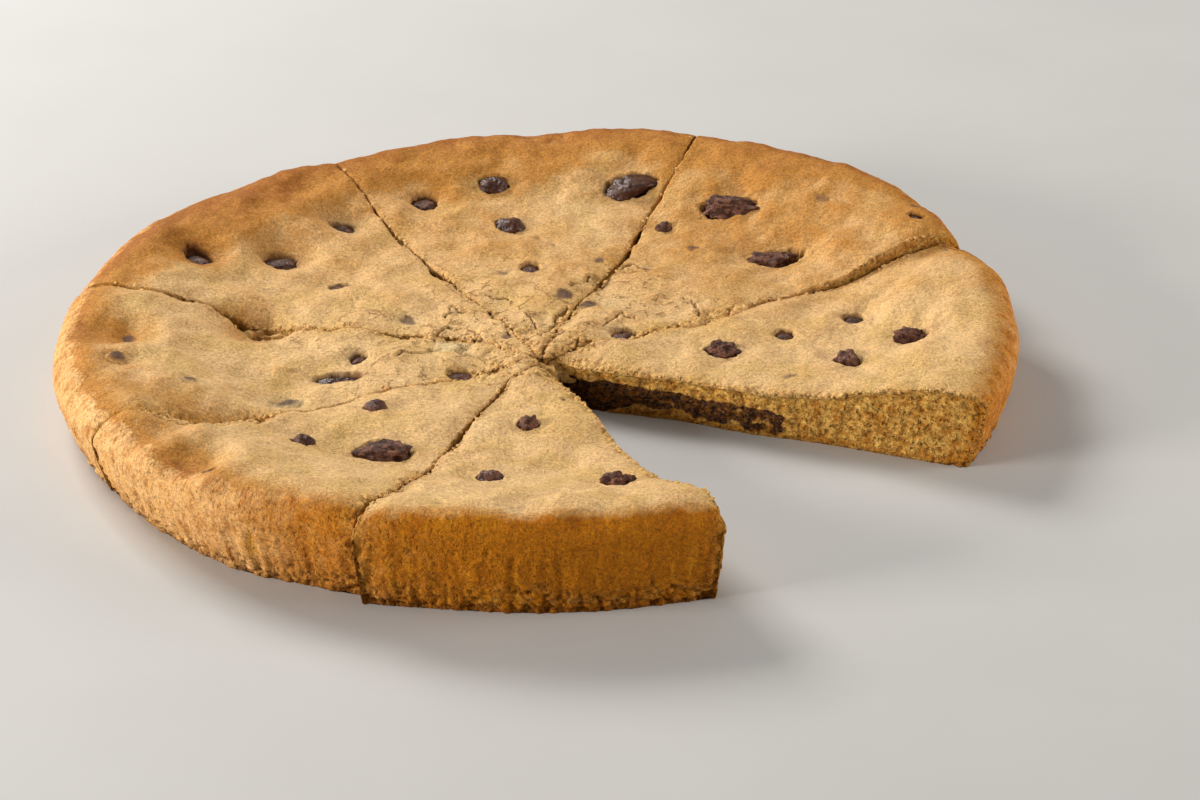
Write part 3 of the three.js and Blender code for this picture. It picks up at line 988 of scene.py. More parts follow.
    def cracks(self, spots):
        """Fine cracks: a narrow furrow with raised lips."""
        bends = [SHARED.relief(spots + apart, CRACK_WANDER) for apart in (0, 40)]
        wavy = self.plan + np.column_stack(bends)
        away = np.min([distance_to_line(wavy, line) for line in CRACKS], axis=0)
        self.marks["crack"] = np.clip(1 - away / CRACK_FADE, 0, 1)
        return ring(away, CRACK_LIP) - ring(away, CRACK_FURROW)

    def wall_relief(self):
        """The outer wall: pan streaks, pores, chipped corners, and a coarse torn lower edge, with painted
        shade in their hollows.
        """
        on = (self.on_wall | self.on_base) & (self.inset < WALL_LEAN + 2)
        around, height, down = self.marks["around"][on], self.points[on, 2], self.down[on]
        spots = self.points[on]
        ridged = WALL_RIDGE + ring(self.theta[on], MORE_RIDGE)
        streaks = ridged * SHARED.soft(flat(around, height * 0.12), RIDGE_SIZE)
        streaks += SHARED.relief(flat(around, height * 0.25), WALL_STREAKS)
        low = smooth(down + 0.12 * SHARED.soft(spots, 6), *TORN_FOOT)
        nearest, _, chance = self.noise.cells(spots, WALL_PORE)
        pits = (chance < 0.06 + 0.30 * low) * (1 - smooth(nearest, 0.2, 0.62))
        _, coarse_gap, coarse_chance = self.noise.cells(spots + 30, FOOT_CRUMB)
        lumps = low * (0.5 * smooth(coarse_gap, 0, 0.5) - 0.5 - 0.5 * (coarse_chance < MISSING_AT_FOOT))
        beside = self.beside[on] + 0.8 * self.noise.soft(spots, 2.4)
        corner = self.by_cut("torn")[on] * np.exp(-np.maximum(beside, 0) / CHIPPED_REACH)
        chipped = -CHIPPED_DEPTH * corner * (0.6 + self.noise.rough(spots, 2.0, 2))
        deep, size = FOOT_GAP
        foot = -deep * smooth(down, 0.86, 1) * smooth(SHARED.soft(flat(around), size) + 0.2, 0, 0.6)
        # Painted shade in the pores, between the coarse crumbs at the foot and in chipped corners; darker at
        # the very foot.
        crevice_shade = (0.15 + 0.3 * low) * pits + 0.55 * low * smooth(0.2 - coarse_gap, 0, 0.2)
        crevice_shade += 1.1 * np.clip(corner - 0.2, 0, 1)
        self.marks["crevice_shade"] += put(on, np.clip(crevice_shade + 0.5 * smooth(down, 0.93, 1), 0, 1))
        self.marks["low"] = put(on, low)
        rise = streaks * smooth(down, 0.05, 0.35) - pits * (0.3 + 0.5 * low) + lumps + chipped
        rise += self.noise.relief(spots, WALL_GRAIN)
        return put(on, rise * smooth(down, 0, 0.08) + foot)

    def face_relief(self, side):
        """A cut face: open crumb in flattened layers, with pores, crusts and smeared chocolate, and painted
        shade in its hollows.
        """
        on = (self.shell.side == side) & ~self.on_base
        opened = self.wedge.open[side]
        depth = (self.down * self.top)[on]
        along, points = self.along[on], self.points[on]
        spots = points * [1, 1, 1.9] + self.noise.relief(points, FACE_WANDER)[:, None]
        nearest, gap, chance = self.noise.cells(spots, FLAKE)
        _, fine_gap, fine_chance = self.noise.cells(spots + 50, FINE_FLAKE)
        missing = chance < MISSING_FLAKES
        fine_missing = fine_chance < MISSING_FINE_FLAKES
        rise = 0.30 * smooth(gap, 0, 0.5) - 0.3 - 0.5 * missing * (1 - smooth(nearest, 0.3, 0.6))
        rise += 0.22 * smooth(fine_gap, 0, 0.5) - 0.22 - 0.25 * fine_missing
        rise += self.noise.relief(points, FACE_WAVES) - 0.4
        rise *= smooth(depth, 0, 1.6) * (1.0 if opened else 0.3)
        hollow = 0.5 * smooth(0.16 - gap, 0, 0.16) + 0.8 * missing * (1 - smooth(nearest, 0.35, 0.6))
        hollow += 0.3 * fine_missing
        pored = chance > 0.78 - 0.2 * smooth(along, 75, 100)
        hollow += pored * (1 - smooth(nearest, 0.3, 0.5)) * 0.7
        # Painted shade in the crumb's hollows and pores, and over the whole face inside a closed cut.
        shade = np.clip(0.8 * hollow, 0, 1) * smooth(depth, 0.3, 3.5)
        shade += 0 if opened else 0.5 * smooth(depth, 0.4, 3)
        self.marks["crevice_shade"] += put(on, shade)
        self.marks["inside"] += put(on, smooth(depth, 0.1, 0.8))
        skin = (0.05 + 0.85 * smooth(along, 45, 100)) * np.exp(-depth / 1.2)
        skin += np.exp(-points[:, 2] / 1.2) + 1.2 * np.exp(-self.rim[on] / 3.2)
        self.marks["skin"] += put(on, np.clip(skin, 0, 1))
        if opened:
            smear = self.smeared(on)
            self.marks["smear"] += put(on, smear)
            rise += smear * (self.noise.relief(points, SMEAR_LUMPS) - 0.1)
        return put(on, rise)

    def smeared(self, on):
        """Where melted chocolate was dragged along an open face: a band, darkest near the middle."""
        spots, run, down = self.points[on], self.along[on] / 100, self.down[on]
        wave = SHARED.relief(spots, SMEAR_WAVE)
        upper = np.interp(run, *np.array(SMEAR_TOP).T)
        lower = np.interp(run, *np.array(SMEAR_FOOT).T)
        band = smooth(down + wave, upper - 0.06, upper + 0.06)
        band *= 1 - smooth(down - wave, lower - 0.06, lower + 0.05)
        band *= 1 - smooth(run + 0.6 * wave + 0.12 * down, 0.68, 0.76)
        patchy = 0.62 + SHARED.relief(spots + 9, SMEAR_PATCHES) + 0.6 * (1 - smooth(run, 0.12, 0.36))
        return np.clip(band * patchy, 0, 1)

    def pockets(self):
        """The crust gives way round each chip, with painted shade in the gap between them."""
        spots = flat(*self.plan.T)
        wobble = self.noise.relief(spots, CHIP_WOBBLE)
        sink = np.zeros(len(spots))
        for chip in chip_rows(self.name):
            away = around_chip(self.plan, chip, wobble)
            covered = chip["finish"] in COVERED
            if covered:
                self.marks["veil"] += COVERED[chip["finish"]] * (1 - smooth(away, 0.15, 1.25))
                self.marks["pale"] += 0.7 * (1 - smooth(away, 0.8, 1.5))
            if chip["kind"] == "pit":
                sink += PIT_DEPTH * (1 - smooth(away, *PIT_EDGE)) + ring(away, PIT_DISH)
                # Painted shade in the gap round the pit's rim.
                self.marks["crevice_shade"] += 0.8 * (1 - smooth(away, 0.9, 1.08))
                self.marks["smear"] += 0.9 * (1 - smooth(away, 0.8, 1.0))
                veil = 0.12 if chip["finish"] == "matte" else 0.45
                self.marks["veil"] += veil * (1 - smooth(away, 0.9, 1.7))
            elif covered:
                sink -= COVERED_RISE * np.sqrt(np.clip(1 - away * away, 0, 1)) - ring(away, COVERED_MOAT)
            else:
                sink += POCKET_DEPTH * (1 - smooth(away, *POCKET_EDGE)) - ring(away, POCKET_LIP)
                sink += ring(away, POCKET_DISH)
                # Painted shade in the narrow gap between chip and crust.
                self.marks["crevice_shade"] += 0.85 * (1 - smooth(away, 0.9, 1.04))
        self.points[:, 2] -= np.where(self.on_top, sink, 0)

    def height_beside(self, chip):
        """The crust's height just beside a chip."""
        away = around_chip(self.plan, chip, 0)
        beside = self.on_top & (away > 1.1) & (away < 1.5)
        return np.median(self.points[beside, 2])

    def under_relief(self):
        """The underside is flat, with shallow pores."""
        spots = flat(*self.plan.T)
        nearest, _, chance = self.noise.cells(spots, BASE_PORE)
        pores = BASE_PORE_DEPTH * (chance < MISSING_IN_BASE) * (1 - smooth(nearest, 0.2, 0.6))
        return pores * smooth(self.rim, 1.5, 5) * smooth(self.beside, 0.5, 2)


def shifted(points, shift):
    """Millimetres in the round's own frame become metres in the part's frame, inside the part's box."""
    placed = (points + shift) * MM
    return np.clip(placed, np.array(cad_box[0]), np.array(cad_box[1]))


def make_mesh(name, points, triangles, marks, material):
    mesh = bpy.data.meshes.new(name)
    mesh.vertices.add(len(points))
    mesh.vertices.foreach_set("co", np.asarray(points, np.float32).ravel())
    mesh.loops.add(3 * len(triangles))
    mesh.loops.foreach_set("vertex_index", np.asarray(triangles, np.int32).ravel())
    mesh.polygons.add(len(triangles))
    mesh.polygons.foreach_set("loop_start", np.arange(0, 3 * len(triangles), 3, dtype=np.int32))
    mesh.polygons.foreach_set("use_smooth", np.ones(len(triangles), bool))
    for mark, values in marks.items():
        layer = mesh.attributes.new(mark, "FLOAT", "POINT")
        layer.data.foreach_set("value", np.asarray(values, np.float32))
    mesh.update(calc_edges=True)
    mesh.validate()
    mesh.materials.append(material)
    piece = bpy.data.objects.new(name, mesh)
    bpy.context.scene.collection.objects.link(piece)
    return piece


def ball(subdivisions):
    """An even ball: its points and triangles."""
    shape = bmesh.new()
    bmesh.ops.create_icosphere(shape, subdivisions=subdivisions, radius=1)
    points = np.array([point.co for point in shape.verts])
    triangles = np.array([[corner.index for corner in face.verts] for face in shape.faces])
    shape.free()
    return points, triangles


class Morsels:
    """Chocolate or crumbs, gathered into one mesh, with one mark that colours them."""

    def __init__(self):
        self.points = []
        self.triangles = []
        self.marks = []
        self.count = 0

    def add(self, points, triangles, mark):
        self.points.append(points)
        self.triangles.append(triangles + self.count)
        self.marks.append(np.full(len(points), float(mark)))
        self.count += len(points)

    def mesh(self, name, shift, mark, material):
        marks = {mark: np.concatenate(self.marks)}
        points = shifted(np.concatenate(self.points), shift)
        return make_mesh(name, points, np.concatenate(self.triangles), marks, material)


def broken(points, seed, sides=11, soft=36):
    """A ball broken to a chunk with flat sides and dulled corners, and squared up from below."""
    random = np.random.default_rng(seed)
    facing = random.normal(size=(sides, 3))
    facing /= np.linalg.norm(facing, axis=1)[:, None]
    reach = random.uniform(0.55, 0.95, sides) / np.maximum(points @ facing.T, 0.12)
    reach = np.column_stack([reach, np.ones(len(points))])
    radius = -np.log(np.exp(-soft * reach).sum(axis=1)) / soft
    chunk = points * radius[:, None]
    return np.column_stack([chunk[:, :2], np.sign(chunk[:, 2]) * np.abs(chunk[:, 2]) ** 0.7])


CHIP_LOOKS = {"glossy": 1.0, "satin": 0.55, "matte": 0.0, "veiled": 0.3}


def chip_shape(chip, seed):
    """A chip's own points about its middle, in its own turn."""
    points, triangles = ball(5 if chip["width"] > 7 else 4)
    noise = Noise(seed)
    if chip["kind"] == "chunk" and chip["finish"] == "matte":
        chunk = broken(points, seed)
        ridges = np.sin(11 * points[:, 1] + 3 * points[:, 2] + 2.6 * noise.soft(points, 0.8))
        points = chunk * (1 + 0.06 * ridges + 0.2 * noise.rough(points, 0.55, 4, 0.65))[:, None]
    elif chip["kind"] == "chunk":
        points = broken(points, seed, soft=10) * (1 + 0.16 * noise.rough(points, 0.9, 3))[:, None]
    else:
        points = points * (1 + 0.16 * noise.rough(points, 0.8, 3))[:, None]
    return points / np.abs(points).max(axis=0), triangles


def turned(local, degrees):
    turn = direction(degrees)
    across = local[:, 0] * turn[0] - local[:, 1] * turn[1]
    deep = local[:, 0] * turn[1] + local[:, 1] * turn[0]
    return np.column_stack([across, deep, local[:, 2]])


def chips_of(one, shift, material):
    """The chocolate in one slice's top."""
    morsels = Morsels()
    for place, chip in enumerate(chip_rows(one.name)):
        if chip["finish"] in COVERED and chip["kind"] == "drop":
            continue
        points, triangles = chip_shape(chip, one.wedge.seed * 31 + place)
        height = one.height_beside(chip)
        if chip["kind"] == "pit":
            half_height, down = PIT_CHIP_HALF, PIT_CHIP_DOWN
        else:
            half_height, down = CHIP_RISE[chip["kind"]] + CHIP_SINK, CHIP_SINK
        size = [chip["width"] * CHIP_OVERLAP, chip["depth"] * CHIP_OVERLAP, half_height]
        placed_points = turned(points * size, chip["turn"]) + [chip["x"], chip["y"], height - down]
        gloss = CHIP_LOOKS[chip["finish"]]
        morsels.add(placed_points, triangles, max(gloss, 0.35) if chip["kind"] == "pit" else gloss)
    return morsels.mesh(one.name.replace("slice", "chips"), shift, "gloss", material)


# Melted chunks in the open face of the front slice: [distance along, height, width, thickness].
MELTED = [
    [24, 6.5, 9, 4.2],
    [31, 5.0, 7, 3.6],
    [56, 6.5, 8.5, 4.5],
    [84, 8.5, 10, 5.6],
    [99, 9.0, 4.5, 5.5],
]
MELTED_PROUD = 0.5
MELTED_DEPTH = 1.8
MELTED_INSET = 0.6
MELTED_LUMPS = [0.2, 0.8, 3]


def melted_chunks(wedge, shift, material):
    """Soft chocolate that the knife cut through, almost level with the open face."""
    morsels = Morsels()
    outwards = direction(wedge.cuts[1]["angle"] + 90)
    along_face = wedge.cuts[1]["angle"]
    for place, (along, height, width, thick) in enumerate(MELTED):
        points, triangles = ball(5)
        lumpy = 1 + Noise(750 + place).relief(points, MELTED_LUMPS)
        points = broken(points, 700 + place, soft=9) * lumpy[:, None]
        points = points / np.abs(points).max(axis=0) * [width / 2, MELTED_DEPTH, thick / 2]
        points[:, 1] = np.minimum(points[:, 1], MELTED_PROUD + 0.2 * np.sin(points[:, 0] * 1.3))
        spot = wedge.plan(np.array([along - wedge.passed]), np.array([1.0]))[0] + wedge.offset
        spot -= MELTED_INSET * outwards
        morsels.add(turned(points, along_face) + [*spot, height], triangles, 1.0 if place < 4 else 0.1)
    return morsels.mesh("melted_chunks", shift, "gloss", material)


CRUMBS_PER_SLICE = 150
CRUMBS_IN_MIDDLE = 16
CRUMB_RADII = (0.2, 0.55)
CRUMB_REACH = 1.4
CRUMB_LUMPS = [0.35, 0.9, 3]
CRUMBLED_MIDDLE = 18
LEDGE_HALF_WIDTH = 1.3
LEDGE_DROP = 1.2
LEDGE_RADII = (0.8, 1.7)

# Lumps of dough that fill the gap where the tips meet: [x, y, height, radius].
MIDDLE_LUMPS = [
    [-0.5, -9, 7.8, 2.6],
    [2.5, -9.5, 7.4, 2.4],
    [-2.5, -10.5, 8.2, 2.2],
    [1, -12, 7, 2.2],
    [4, -7.5, 7.8, 2.2],
    [-1, -7, 8.6, 2],
    [1.5, -10.5, 8.9, 1.6],
    [-1.5, -12.5, 8.7, 1.5],
    [6, -9, 6.6, 2],
    [3, -8, 9.1, 1.3],
    [-3.5, -8.5, 9.2, 1.4],
]


# Where a gap between two slices is filled with torn crumb: [cut, from, to, height beside the cut, lumps].
LEDGES = [
    ["frontLeft", 70, 98, -2.5, 60],
    ["right", 40, 57, -1.3, 30],
    ["left", 66, 74, -2.4, 8],
]


def ledge_lumps(random):
    """The lumps of torn crumb in the wide gaps: their spots and radii."""
    for cut, start, end, sink, count in LEDGES:
        for along in np.linspace(start, end, count):
            side = eased(CUTS[cut]["wander"], along) + random.uniform(-LEDGE_HALF_WIDTH, LEDGE_HALF_WIDTH)
            heading = CUTS[cut]["angle"]
            plan = CUT_CENTRE + along * direction(heading) + side * direction(heading + 90)
            height = top_height(plan[None])[0] + sink - random.uniform(0, LEDGE_DROP)
            yield [*plan, height], random.uniform(*LEDGE_RADII)


def lump(noise, radius, spot):
    """A small uneven crumb at that spot."""
    points, triangles = ball(3 if radius > 0.6 else 2)
    size = radius * np.array([1.2, 1.0, 0.8])
    return points * (1 + noise.relief(points + spot[0], CRUMB_LUMPS))[:, None] * size, triangles


def crumbs(slices, shift, material):
    """Crumbs that cling to the edges of the cuts and lie thickly round the middle."""
    morsels = Morsels()
    random = np.random.default_rng(5)
    for one in slices:
        on_top = np.flatnonzero(one.on_top & (one.past < 0.1))
        edge = on_top[one.beside[on_top] < CRUMB_REACH]
        torn = one.by_cut("torn")[edge] ** 1.5 * np.exp(-one.beside[edge])
        chosen = random.choice(edge, CRUMBS_PER_SLICE, p=torn / torn.sum())
        middle = on_top[one.along[on_top] < CRUMBLED_MIDDLE]
        for place in np.concatenate([chosen, random.choice(middle, CRUMBS_IN_MIDDLE)]):
            points, triangles = lump(one.noise, random.uniform(*CRUMB_RADII), one.points[place])
            morsels.add(turned(points, random.uniform(0, 360)) + one.points[place], triangles, 0.5)
    lumps = [(row[:3], row[3]) for row in MIDDLE_LUMPS] + list(ledge_lumps(random))
    for spot, radius in lumps:
        points, triangles = lump(SHARED, radius, spot)
        morsels.add(points + spot, triangles, 0.7)
    return morsels.mesh("crumbs", shift, "crumb", material)


class Link:
    """A socket of a material's nodes. Sums on it are written as plain Python and make Math nodes."""

    def __init__(self, tree, socket):
        self.tree = tree
        self.socket = socket

    def maths(self, operation, *values):
        sockets = dict(enumerate(values))
        return self.tree.make("ShaderNodeMath", {"operation": operation}, sockets)

    def __add__(self, other):
        return self.maths("ADD", self, other)

    def __radd__(self, other):
        return self.maths("ADD", other, self)

    def __sub__(self, other):
        return self.maths("SUBTRACT", self, other)

    def __rsub__(self, other):
        return self.maths("SUBTRACT", other, self)

    def __mul__(self, other):
        return self.maths("MULTIPLY", self, other)

    def __rmul__(self, other):
        return self.maths("MULTIPLY", other, self)

    def most(self, other):
        return self.maths("MAXIMUM", self, other)

    def least(self, other):
        return self.maths("MINIMUM", self, other)

    def between(self, low, high):
        """0 below low, 1 above high, and eased between."""
        sockets = {"Value": self, "From Min": low, "From Max": high}
        return self.tree.make("ShaderNodeMapRange", {"interpolation_type": "SMOOTHSTEP"}, sockets)


class Finish:
    """The nodes of one material."""

    def __init__(self, name):
        self.material = bpy.data.materials.new(name)
        self.material.use_nodes = True
        self.nodes = self.material.node_tree.nodes
        self.nodes.clear()

    def make(self, kind, settings=None, sockets=None, output=0):
        """A node of that kind. Its settings come first, then the values or links of its sockets."""
        node = self.nodes.new(kind)
        for name, value in (settings or {}).items():
            setattr(node, name, value)
        for name, value in (sockets or {}).items():
            if isinstance(value, Link):
                self.material.node_tree.links.new(value.socket, node.inputs[name])
            else:
                node.inputs[name].default_value = value
        return Link(self, node.outputs[output])

    def mark(self, name):
        return self.make("ShaderNodeAttribute", {"attribute_name": name}, output="Fac")

    def place(self):
        """The point's place in millimetres."""
        spot = self.make("ShaderNodeTexCoord", output="Object")
        return self.make("ShaderNodeVectorMath", {"operation": "SCALE"}, {0: spot, "Scale": 1 / MM})

    def stretched(self, place, upright):
        """The place with its height scaled, for forms that lie flat."""
        return self.make("ShaderNodeVectorMath", {"operation": "MULTIPLY"}, {0: place, 1: (1, 1, upright)})

    def noise(self, place, size, detail=2.0, rough=0.5):
        """Soft noise from 0 to 1, with swells of that size in millimetres."""
        sockets = {"Vector": place, "Scale": 1 / size, "Detail": detail, "Roughness": rough}
        return self.make("ShaderNodeTexNoise", None, sockets)

    def cells(self, place, size, feature="F1", output="Distance"):
        sockets = {"Vector": place, "Scale": 1 / size}
        return self.make("ShaderNodeTexVoronoi", {"feature": feature}, sockets, output)

    def blend(self, factor, first, second, way="MIX"):
        """The first colour where the factor is 0, and the second where it is 1."""
        settings = {"data_type": "RGBA", "blend_type": way, "clamp_factor": True}
        return self.make("ShaderNodeMix", settings, {0: factor, 6: first, 7: second}, 2)

    def bump(self, height, depth, below=None):
        """Relief of that depth in millimetres, on top of any relief below it."""
        sockets = {"Height": height, "Distance": depth * MM, "Strength": 1.0}
        if below is not None:
            sockets["Normal"] = below
        return self.make("ShaderNodeBump", None, sockets)

    def surface(self, **sockets):
        named = {name.replace("_", " "): value for name, value in sockets.items()}
        shader = self.make("ShaderNodeBsdfPrincipled", None, named)
        output = self.nodes.new("ShaderNodeOutputMaterial")
        self.material.node_tree.links.new(shader.socket, output.inputs["Surface"])
        return self.material


def colour(red, green, blue):
    return (red, green, blue, 1.0)


LIGHT_DOUGH = colour(0.70, 0.45, 0.205)
OLIVE_DOUGH = colour(0.60, 0.38, 0.125)
PALE_DOUGH = colour(0.64, 0.47, 0.235)
TOASTED = colour(0.475, 0.21, 0.040)
WELL_TOASTED = colour(0.31, 0.10, 0.014)
SPECK = colour(0.30, 0.115, 0.025)
TOAST_LINE = colour(0.40, 0.18, 0.028)
# The wall's pale colour is painted light, for its lit left side.
PALE_LIT_WALL = colour(0.74, 0.44, 0.18)
WALL_CRUST = colour(0.47, 0.155, 0.0035)
GOLD_CRUST = colour(0.58, 0.26, 0.010)
DEEP_CRUST = colour(0.31, 0.088, 0.002)
CRUMB = colour(0.78, 0.455, 0.11)
CRUMB_DARK = colour(0.45, 0.17, 0.018)
SKIN = colour(0.52, 0.21, 0.02)
# Painted shade: the dark of crevices, pores, gaps and holes.
CREVICE_SHADE = colour(0.16, 0.05, 0.006)
GREY_VEIL = colour(0.105, 0.058, 0.045)
DARK_CHOCOLATE = colour(0.020, 0.0095, 0.007)
MELTED_CHOCOLATE = colour(0.042, 0.016, 0.011)
CHOCOLATE = colour(0.062, 0.020, 0.010)
RUSTY_CHOCOLATE = colour(0.13, 0.042, 0.014)
BLOOM = colour(0.26, 0.108, 0.062)


def dough_finish():
    """Baked dough: sandy golden crust, browned rim, orange-brown wall and open crumb."""
    finish = Finish("baked_dough")
    place = finish.place()
    toast, wall, baked, inside, skin = map(finish.mark, ("toast", "wall", "baked", "inside", "skin"))
    crevice_shade, veil, pale, crack, hairline = map(finish.mark, ("crevice_shade", "veil", "pale", "crack", "hairline"))
    low, crumb, smear, around = map(finish.mark, ("low", "crumb", "smear", "around"))
    upright = finish.make("ShaderNodeSeparateXYZ", None, {0: place}, 2)
    wrapped = finish.make("ShaderNodeCombineXYZ", None, {0: around, 1: upright * 0.14})

    drift = finish.noise(place, 13, 3)
    blotch = finish.noise(place, 4.0, 5, 0.62)
    grain = finish.noise(place, 0.75, 3, 0.65)
    sand = finish.noise(place, 0.32, 2, 0.6)
    streak = finish.noise(wrapped, 2.2, 4, 0.6)
    speck = finish.cells(place, 2.6)
    pore = finish.noise(place, 1.1, 3, 0.55)
    sway = finish.noise(place, 3, 4, 0.6)
    bend = finish.make("ShaderNodeCombineXYZ", None, {0: blotch * 5, 1: sway * 5, 2: 0.0})
    bent = finish.make("ShaderNodeVectorMath", {"operation": "ADD"}, {0: place, 1: bend})
    network = finish.cells(bent, 6.0, "DISTANCE_TO_EDGE")

    crust = finish.blend(drift.between(0.42, 0.66) * 0.6, LIGHT_DOUGH, OLIVE_DOUGH)
    crust = finish.blend(pale * 0.8, crust, PALE_DOUGH)
    browned = toast + (blotch - 0.5) * (0.22 + toast * 0.8)
    crust = finish.blend(browned.between(0.0, 0.85), crust, TOASTED)
    crust = finish.blend(browned.between(0.8, 1.5) * 0.85, crust, WELL_TOASTED)
    crust = finish.blend(speck.between(0.14, 0.06) * drift.between(0.45, 0.6) * 0.7, crust, SPECK)

    # The wall's colour runs from painted light on its lit left side to deep crust at the shaded front.
    side = finish.blend((baked + (blotch - 0.5) * 0.7).between(0.0, 0.95), PALE_LIT_WALL, WALL_CRUST)
    side = finish.blend(streak.between(0.46, 0.30) * 0.55, side, GOLD_CRUST)
    side = finish.blend((streak * 0.8 + blotch * 0.6).between(0.64, 0.95) * 0.8, side, DEEP_CRUST)
    side = finish.blend(low * blotch.between(0.45, 0.7) * 0.35, side, CRUMB)
    over = wall + (grain - 0.5) * 0.9 * wall.between(0.0, 0.3)
    crust = finish.blend(over.between(0.15, 0.85), crust, side)

    flake = finish.noise(finish.stretched(place, 1.8), 2.4, 5, 0.64)
    open_crumb = finish.blend((flake * 0.75 + blotch * 0.25).between(0.42, 0.62) * 0.9, CRUMB, CRUMB_DARK)
    crust = finish.blend((crumb + (grain - 0.5) * 0.5 * crumb.between(0.0, 0.2)) * 0.6, crust, open_crumb)
    cut_crumb = finish.blend((skin + (grain - 0.5) * 0.6).between(0.25, 0.85), open_crumb, SKIN)
    crust = finish.blend(inside, crust, cut_crumb)
    rust = finish.blend(grain.between(0.47, 0.66), DARK_CHOCOLATE, RUSTY_CHOCOLATE)
    melted = (smear + (blotch - 0.5) * 0.9 * smear.between(0.0, 0.3)).between(0.14, 0.42)
    crust = finish.blend(melted, crust, rust)

    # Grey of chocolate under the crust, and the painted shade of small holes and slits.
    shadow = (veil + (blotch - 0.5) * 0.5 * veil.between(0.0, 0.2)).between(0.1, 0.9)
    crust = finish.blend(shadow * 0.9, crust, GREY_VEIL)
    # Painted shade where the crevice mark is set: near black-brown, or dark crumb on open crumb.
    crust = finish.blend(crevice_shade * 0.85, crust, finish.blend(crumb, CREVICE_SHADE, CRUMB_DARK))
    line = ((1 - crack) * CRACK_FADE + (grain - 0.5) * 1.6).between(0.45, 0.0) * drift.between(0.35, 0.55)
    fine_line = (network * 6.0 + (grain - 0.5) * 0.9).between(0.24, 0.02)
    fine_line = fine_line * hairline * blotch.between(0.46, 0.56)
    crust = finish.blend(line.most(fine_line * 0.6) * 0.65, crust, TOAST_LINE)
    rough_parts = (wall * 0.35 + low * 0.5 + inside * 0.6 + crumb * 0.6).least(1.0)
    # Painted shade in the pores of the rougher parts.
    pit = pore.between(0.40, 0.30) * (rough_parts * 0.6 + 0.08)
    crust = finish.blend(pit, crust, CREVICE_SHADE)
    shade = (grain * 0.5 + sand * 0.5).between(0.32, 0.68) * 0.76 + 0.595
    grey = finish.make("ShaderNodeCombineColor", None, {0: shade, 1: shade, 2: shade})
    crust = finish.blend(1.0, crust, grey, "MULTIPLY")

    fine = finish.bump(grain * 0.6 + sand * 0.4, 0.24)
    dents = finish.bump(blotch * (0.5 + rough_parts * 0.7), 0.6, fine)
    flaky = finish.bump((1 - flake) * inside, 0.9, dents)
    pitted = finish.bump(pore.between(0.28, 0.5) * (rough_parts + 0.15) - line.most(fine_line), 0.45, flaky)
    return finish.surface(
        Base_Color=crust,
        Roughness=0.80 - melted * 0.42 + (grain - 0.5) * 0.14,
        Normal=pitted,
        Specular_IOR_Level=0.14,
    )


def chocolate_finish():
    """Chocolate: bloomed and scuffed where it is matte, and wet and dark where it melted."""
    finish = Finish("chocolate")
    place = finish.place()
    gloss = finish.mark("gloss")
    patch = finish.noise(place, 1.7, 4, 0.6)
    scuff = finish.noise(place, 0.55, 3, 0.6)
    shell = finish.blend(gloss, CHOCOLATE, MELTED_CHOCOLATE)
    shell = finish.blend(patch.between(0.44, 0.60) * (1 - gloss * 0.8) * 0.9, shell, BLOOM)
    shell = finish.blend(scuff.between(0.52, 0.64) * (1 - gloss) * 0.6, shell, RUSTY_CHOCOLATE)
    return finish.surface(
        Base_Color=shell,
        Roughness=0.56 - gloss * 0.32 + (scuff - 0.5) * 0.18,
        Normal=finish.bump(scuff * (1.6 - gloss * 1.4) + patch * 1.2, 0.5),
        Specular_IOR_Level=0.28,
    )


# Each lamp: [name, place in metres, width and height, watts, colour].
LAMPS = [
    ["window", (-0.66, 0.85, 0.74), (0.55, 0.4), 17.0, (1.0, 0.98, 0.95)],
    ["low_window", (-1.1, -0.40, 0.34), (0.5, 0.3), 14.5, (1.0, 0.96, 0.91)],
    ["side_fill", (1.0, -0.1, 0.30), (0.5, 0.35), 7.4, (1.0, 0.95, 0.9)],
]
ROOM_LIGHT = 0.22
ROOM_COLOUR = colour(1.0, 0.98, 0.95)
FLOOR_HALF = 3.0
FLOOR_GREYS = colour(0.50, 0.495, 0.48), colour(0.54, 0.535, 0.52)


def floor_finish():
    finish = Finish("studio_floor")
    mottle = finish.noise(finish.place(), 40, 3)
    tone = finish.blend(mottle, *FLOOR_GREYS)
    return finish.surface(Base_Color=tone, Roughness=0.7)


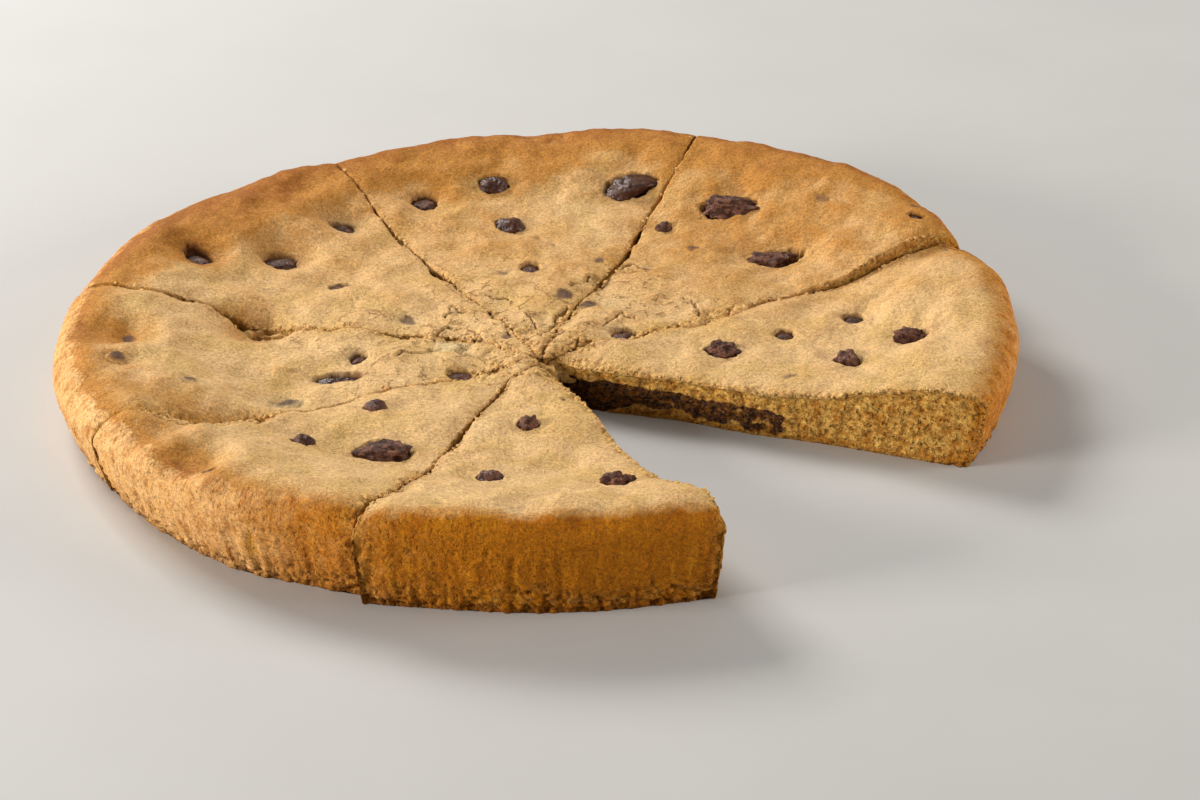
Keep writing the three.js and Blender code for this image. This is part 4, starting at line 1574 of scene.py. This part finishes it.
def stage():
    """A plain pale floor and soft studio light, mostly from behind and from the left."""
    mesh = bpy.data.meshes.new("floor")
    corners = [(x * FLOOR_HALF, y * FLOOR_HALF, 0) for x, y in ((-1, -1), (1, -1), (1, 1), (-1, 1))]
    mesh.from_pydata(corners, [], [(0, 1, 2, 3)])
    mesh.materials.append(floor_finish())
    floor = bpy.data.objects.new("floor", mesh)
    bpy.context.scene.collection.objects.link(floor)
    for name, place, size, power, tint in LAMPS:
        lamp = bpy.data.lights.new(name, "AREA")
        lamp.shape = "RECTANGLE"
        lamp.size, lamp.size_y = size
        lamp.energy = power
        lamp.color = tint
        light = bpy.data.objects.new(name, lamp)
        light.location = place
        light.rotation_euler = (-Vector(place)).to_track_quat("-Z", "Y").to_euler()
        bpy.context.scene.collection.objects.link(light)
    world = bpy.data.worlds.new("room")
    world.use_nodes = True
    backdrop = world.node_tree.nodes["Background"]
    backdrop.inputs["Color"].default_value = ROOM_COLOUR
    backdrop.inputs["Strength"].default_value = ROOM_LIGHT
    bpy.context.scene.world = world
    bpy.context.scene.view_settings.view_transform = "Standard"


def camera(shift):
    """The photo's own view: from the front, looking down, at some distance."""
    lens = bpy.data.cameras.new("camera")
    lens.lens = LENS
    lens.sensor_width = SENSOR
    lens.clip_start, lens.clip_end = 0.05, 20
    target = Vector((VIEW_TARGET + shift) * MM)
    angle = math.radians(VIEW_ELEVATION)
    back = Vector((0, -math.cos(angle), math.sin(angle)))
    view = bpy.data.objects.new("camera", lens)
    view.location = target + back * VIEW_DISTANCE * MM
    view.rotation_euler = (-back).to_track_quat("-Z", "Y").to_euler()
    bpy.context.scene.collection.objects.link(view)
    bpy.context.scene.camera = view


def placed(piece, slot):
    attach(piece, "root")
    return piece


def build():
    slices = [Slice(name) for name in SLICES]
    form = np.concatenate([one.points for one in slices])
    middle = (form.min(axis=0) + form.max(axis=0)) / 2
    shift = np.array([-middle[0], -middle[1], 0])
    camera(shift)
    stage()
    dough = dough_finish()
    chocolate = chocolate_finish()
    for one in slices:
        one.relief()
        name = one.name.replace("slice", "dough")
        piece = make_mesh(name, shifted(one.points, shift), one.shell.triangles, one.marks, dough)
        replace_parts(placed(piece, "baked_dough"), one.name)
        placed(chips_of(one, shift, chocolate), "chocolate")
        if one.name == "slice_front":
            placed(melted_chunks(one.wedge, shift, chocolate), "chocolate")
    placed(crumbs(slices, shift, dough), "baked_dough")


build()
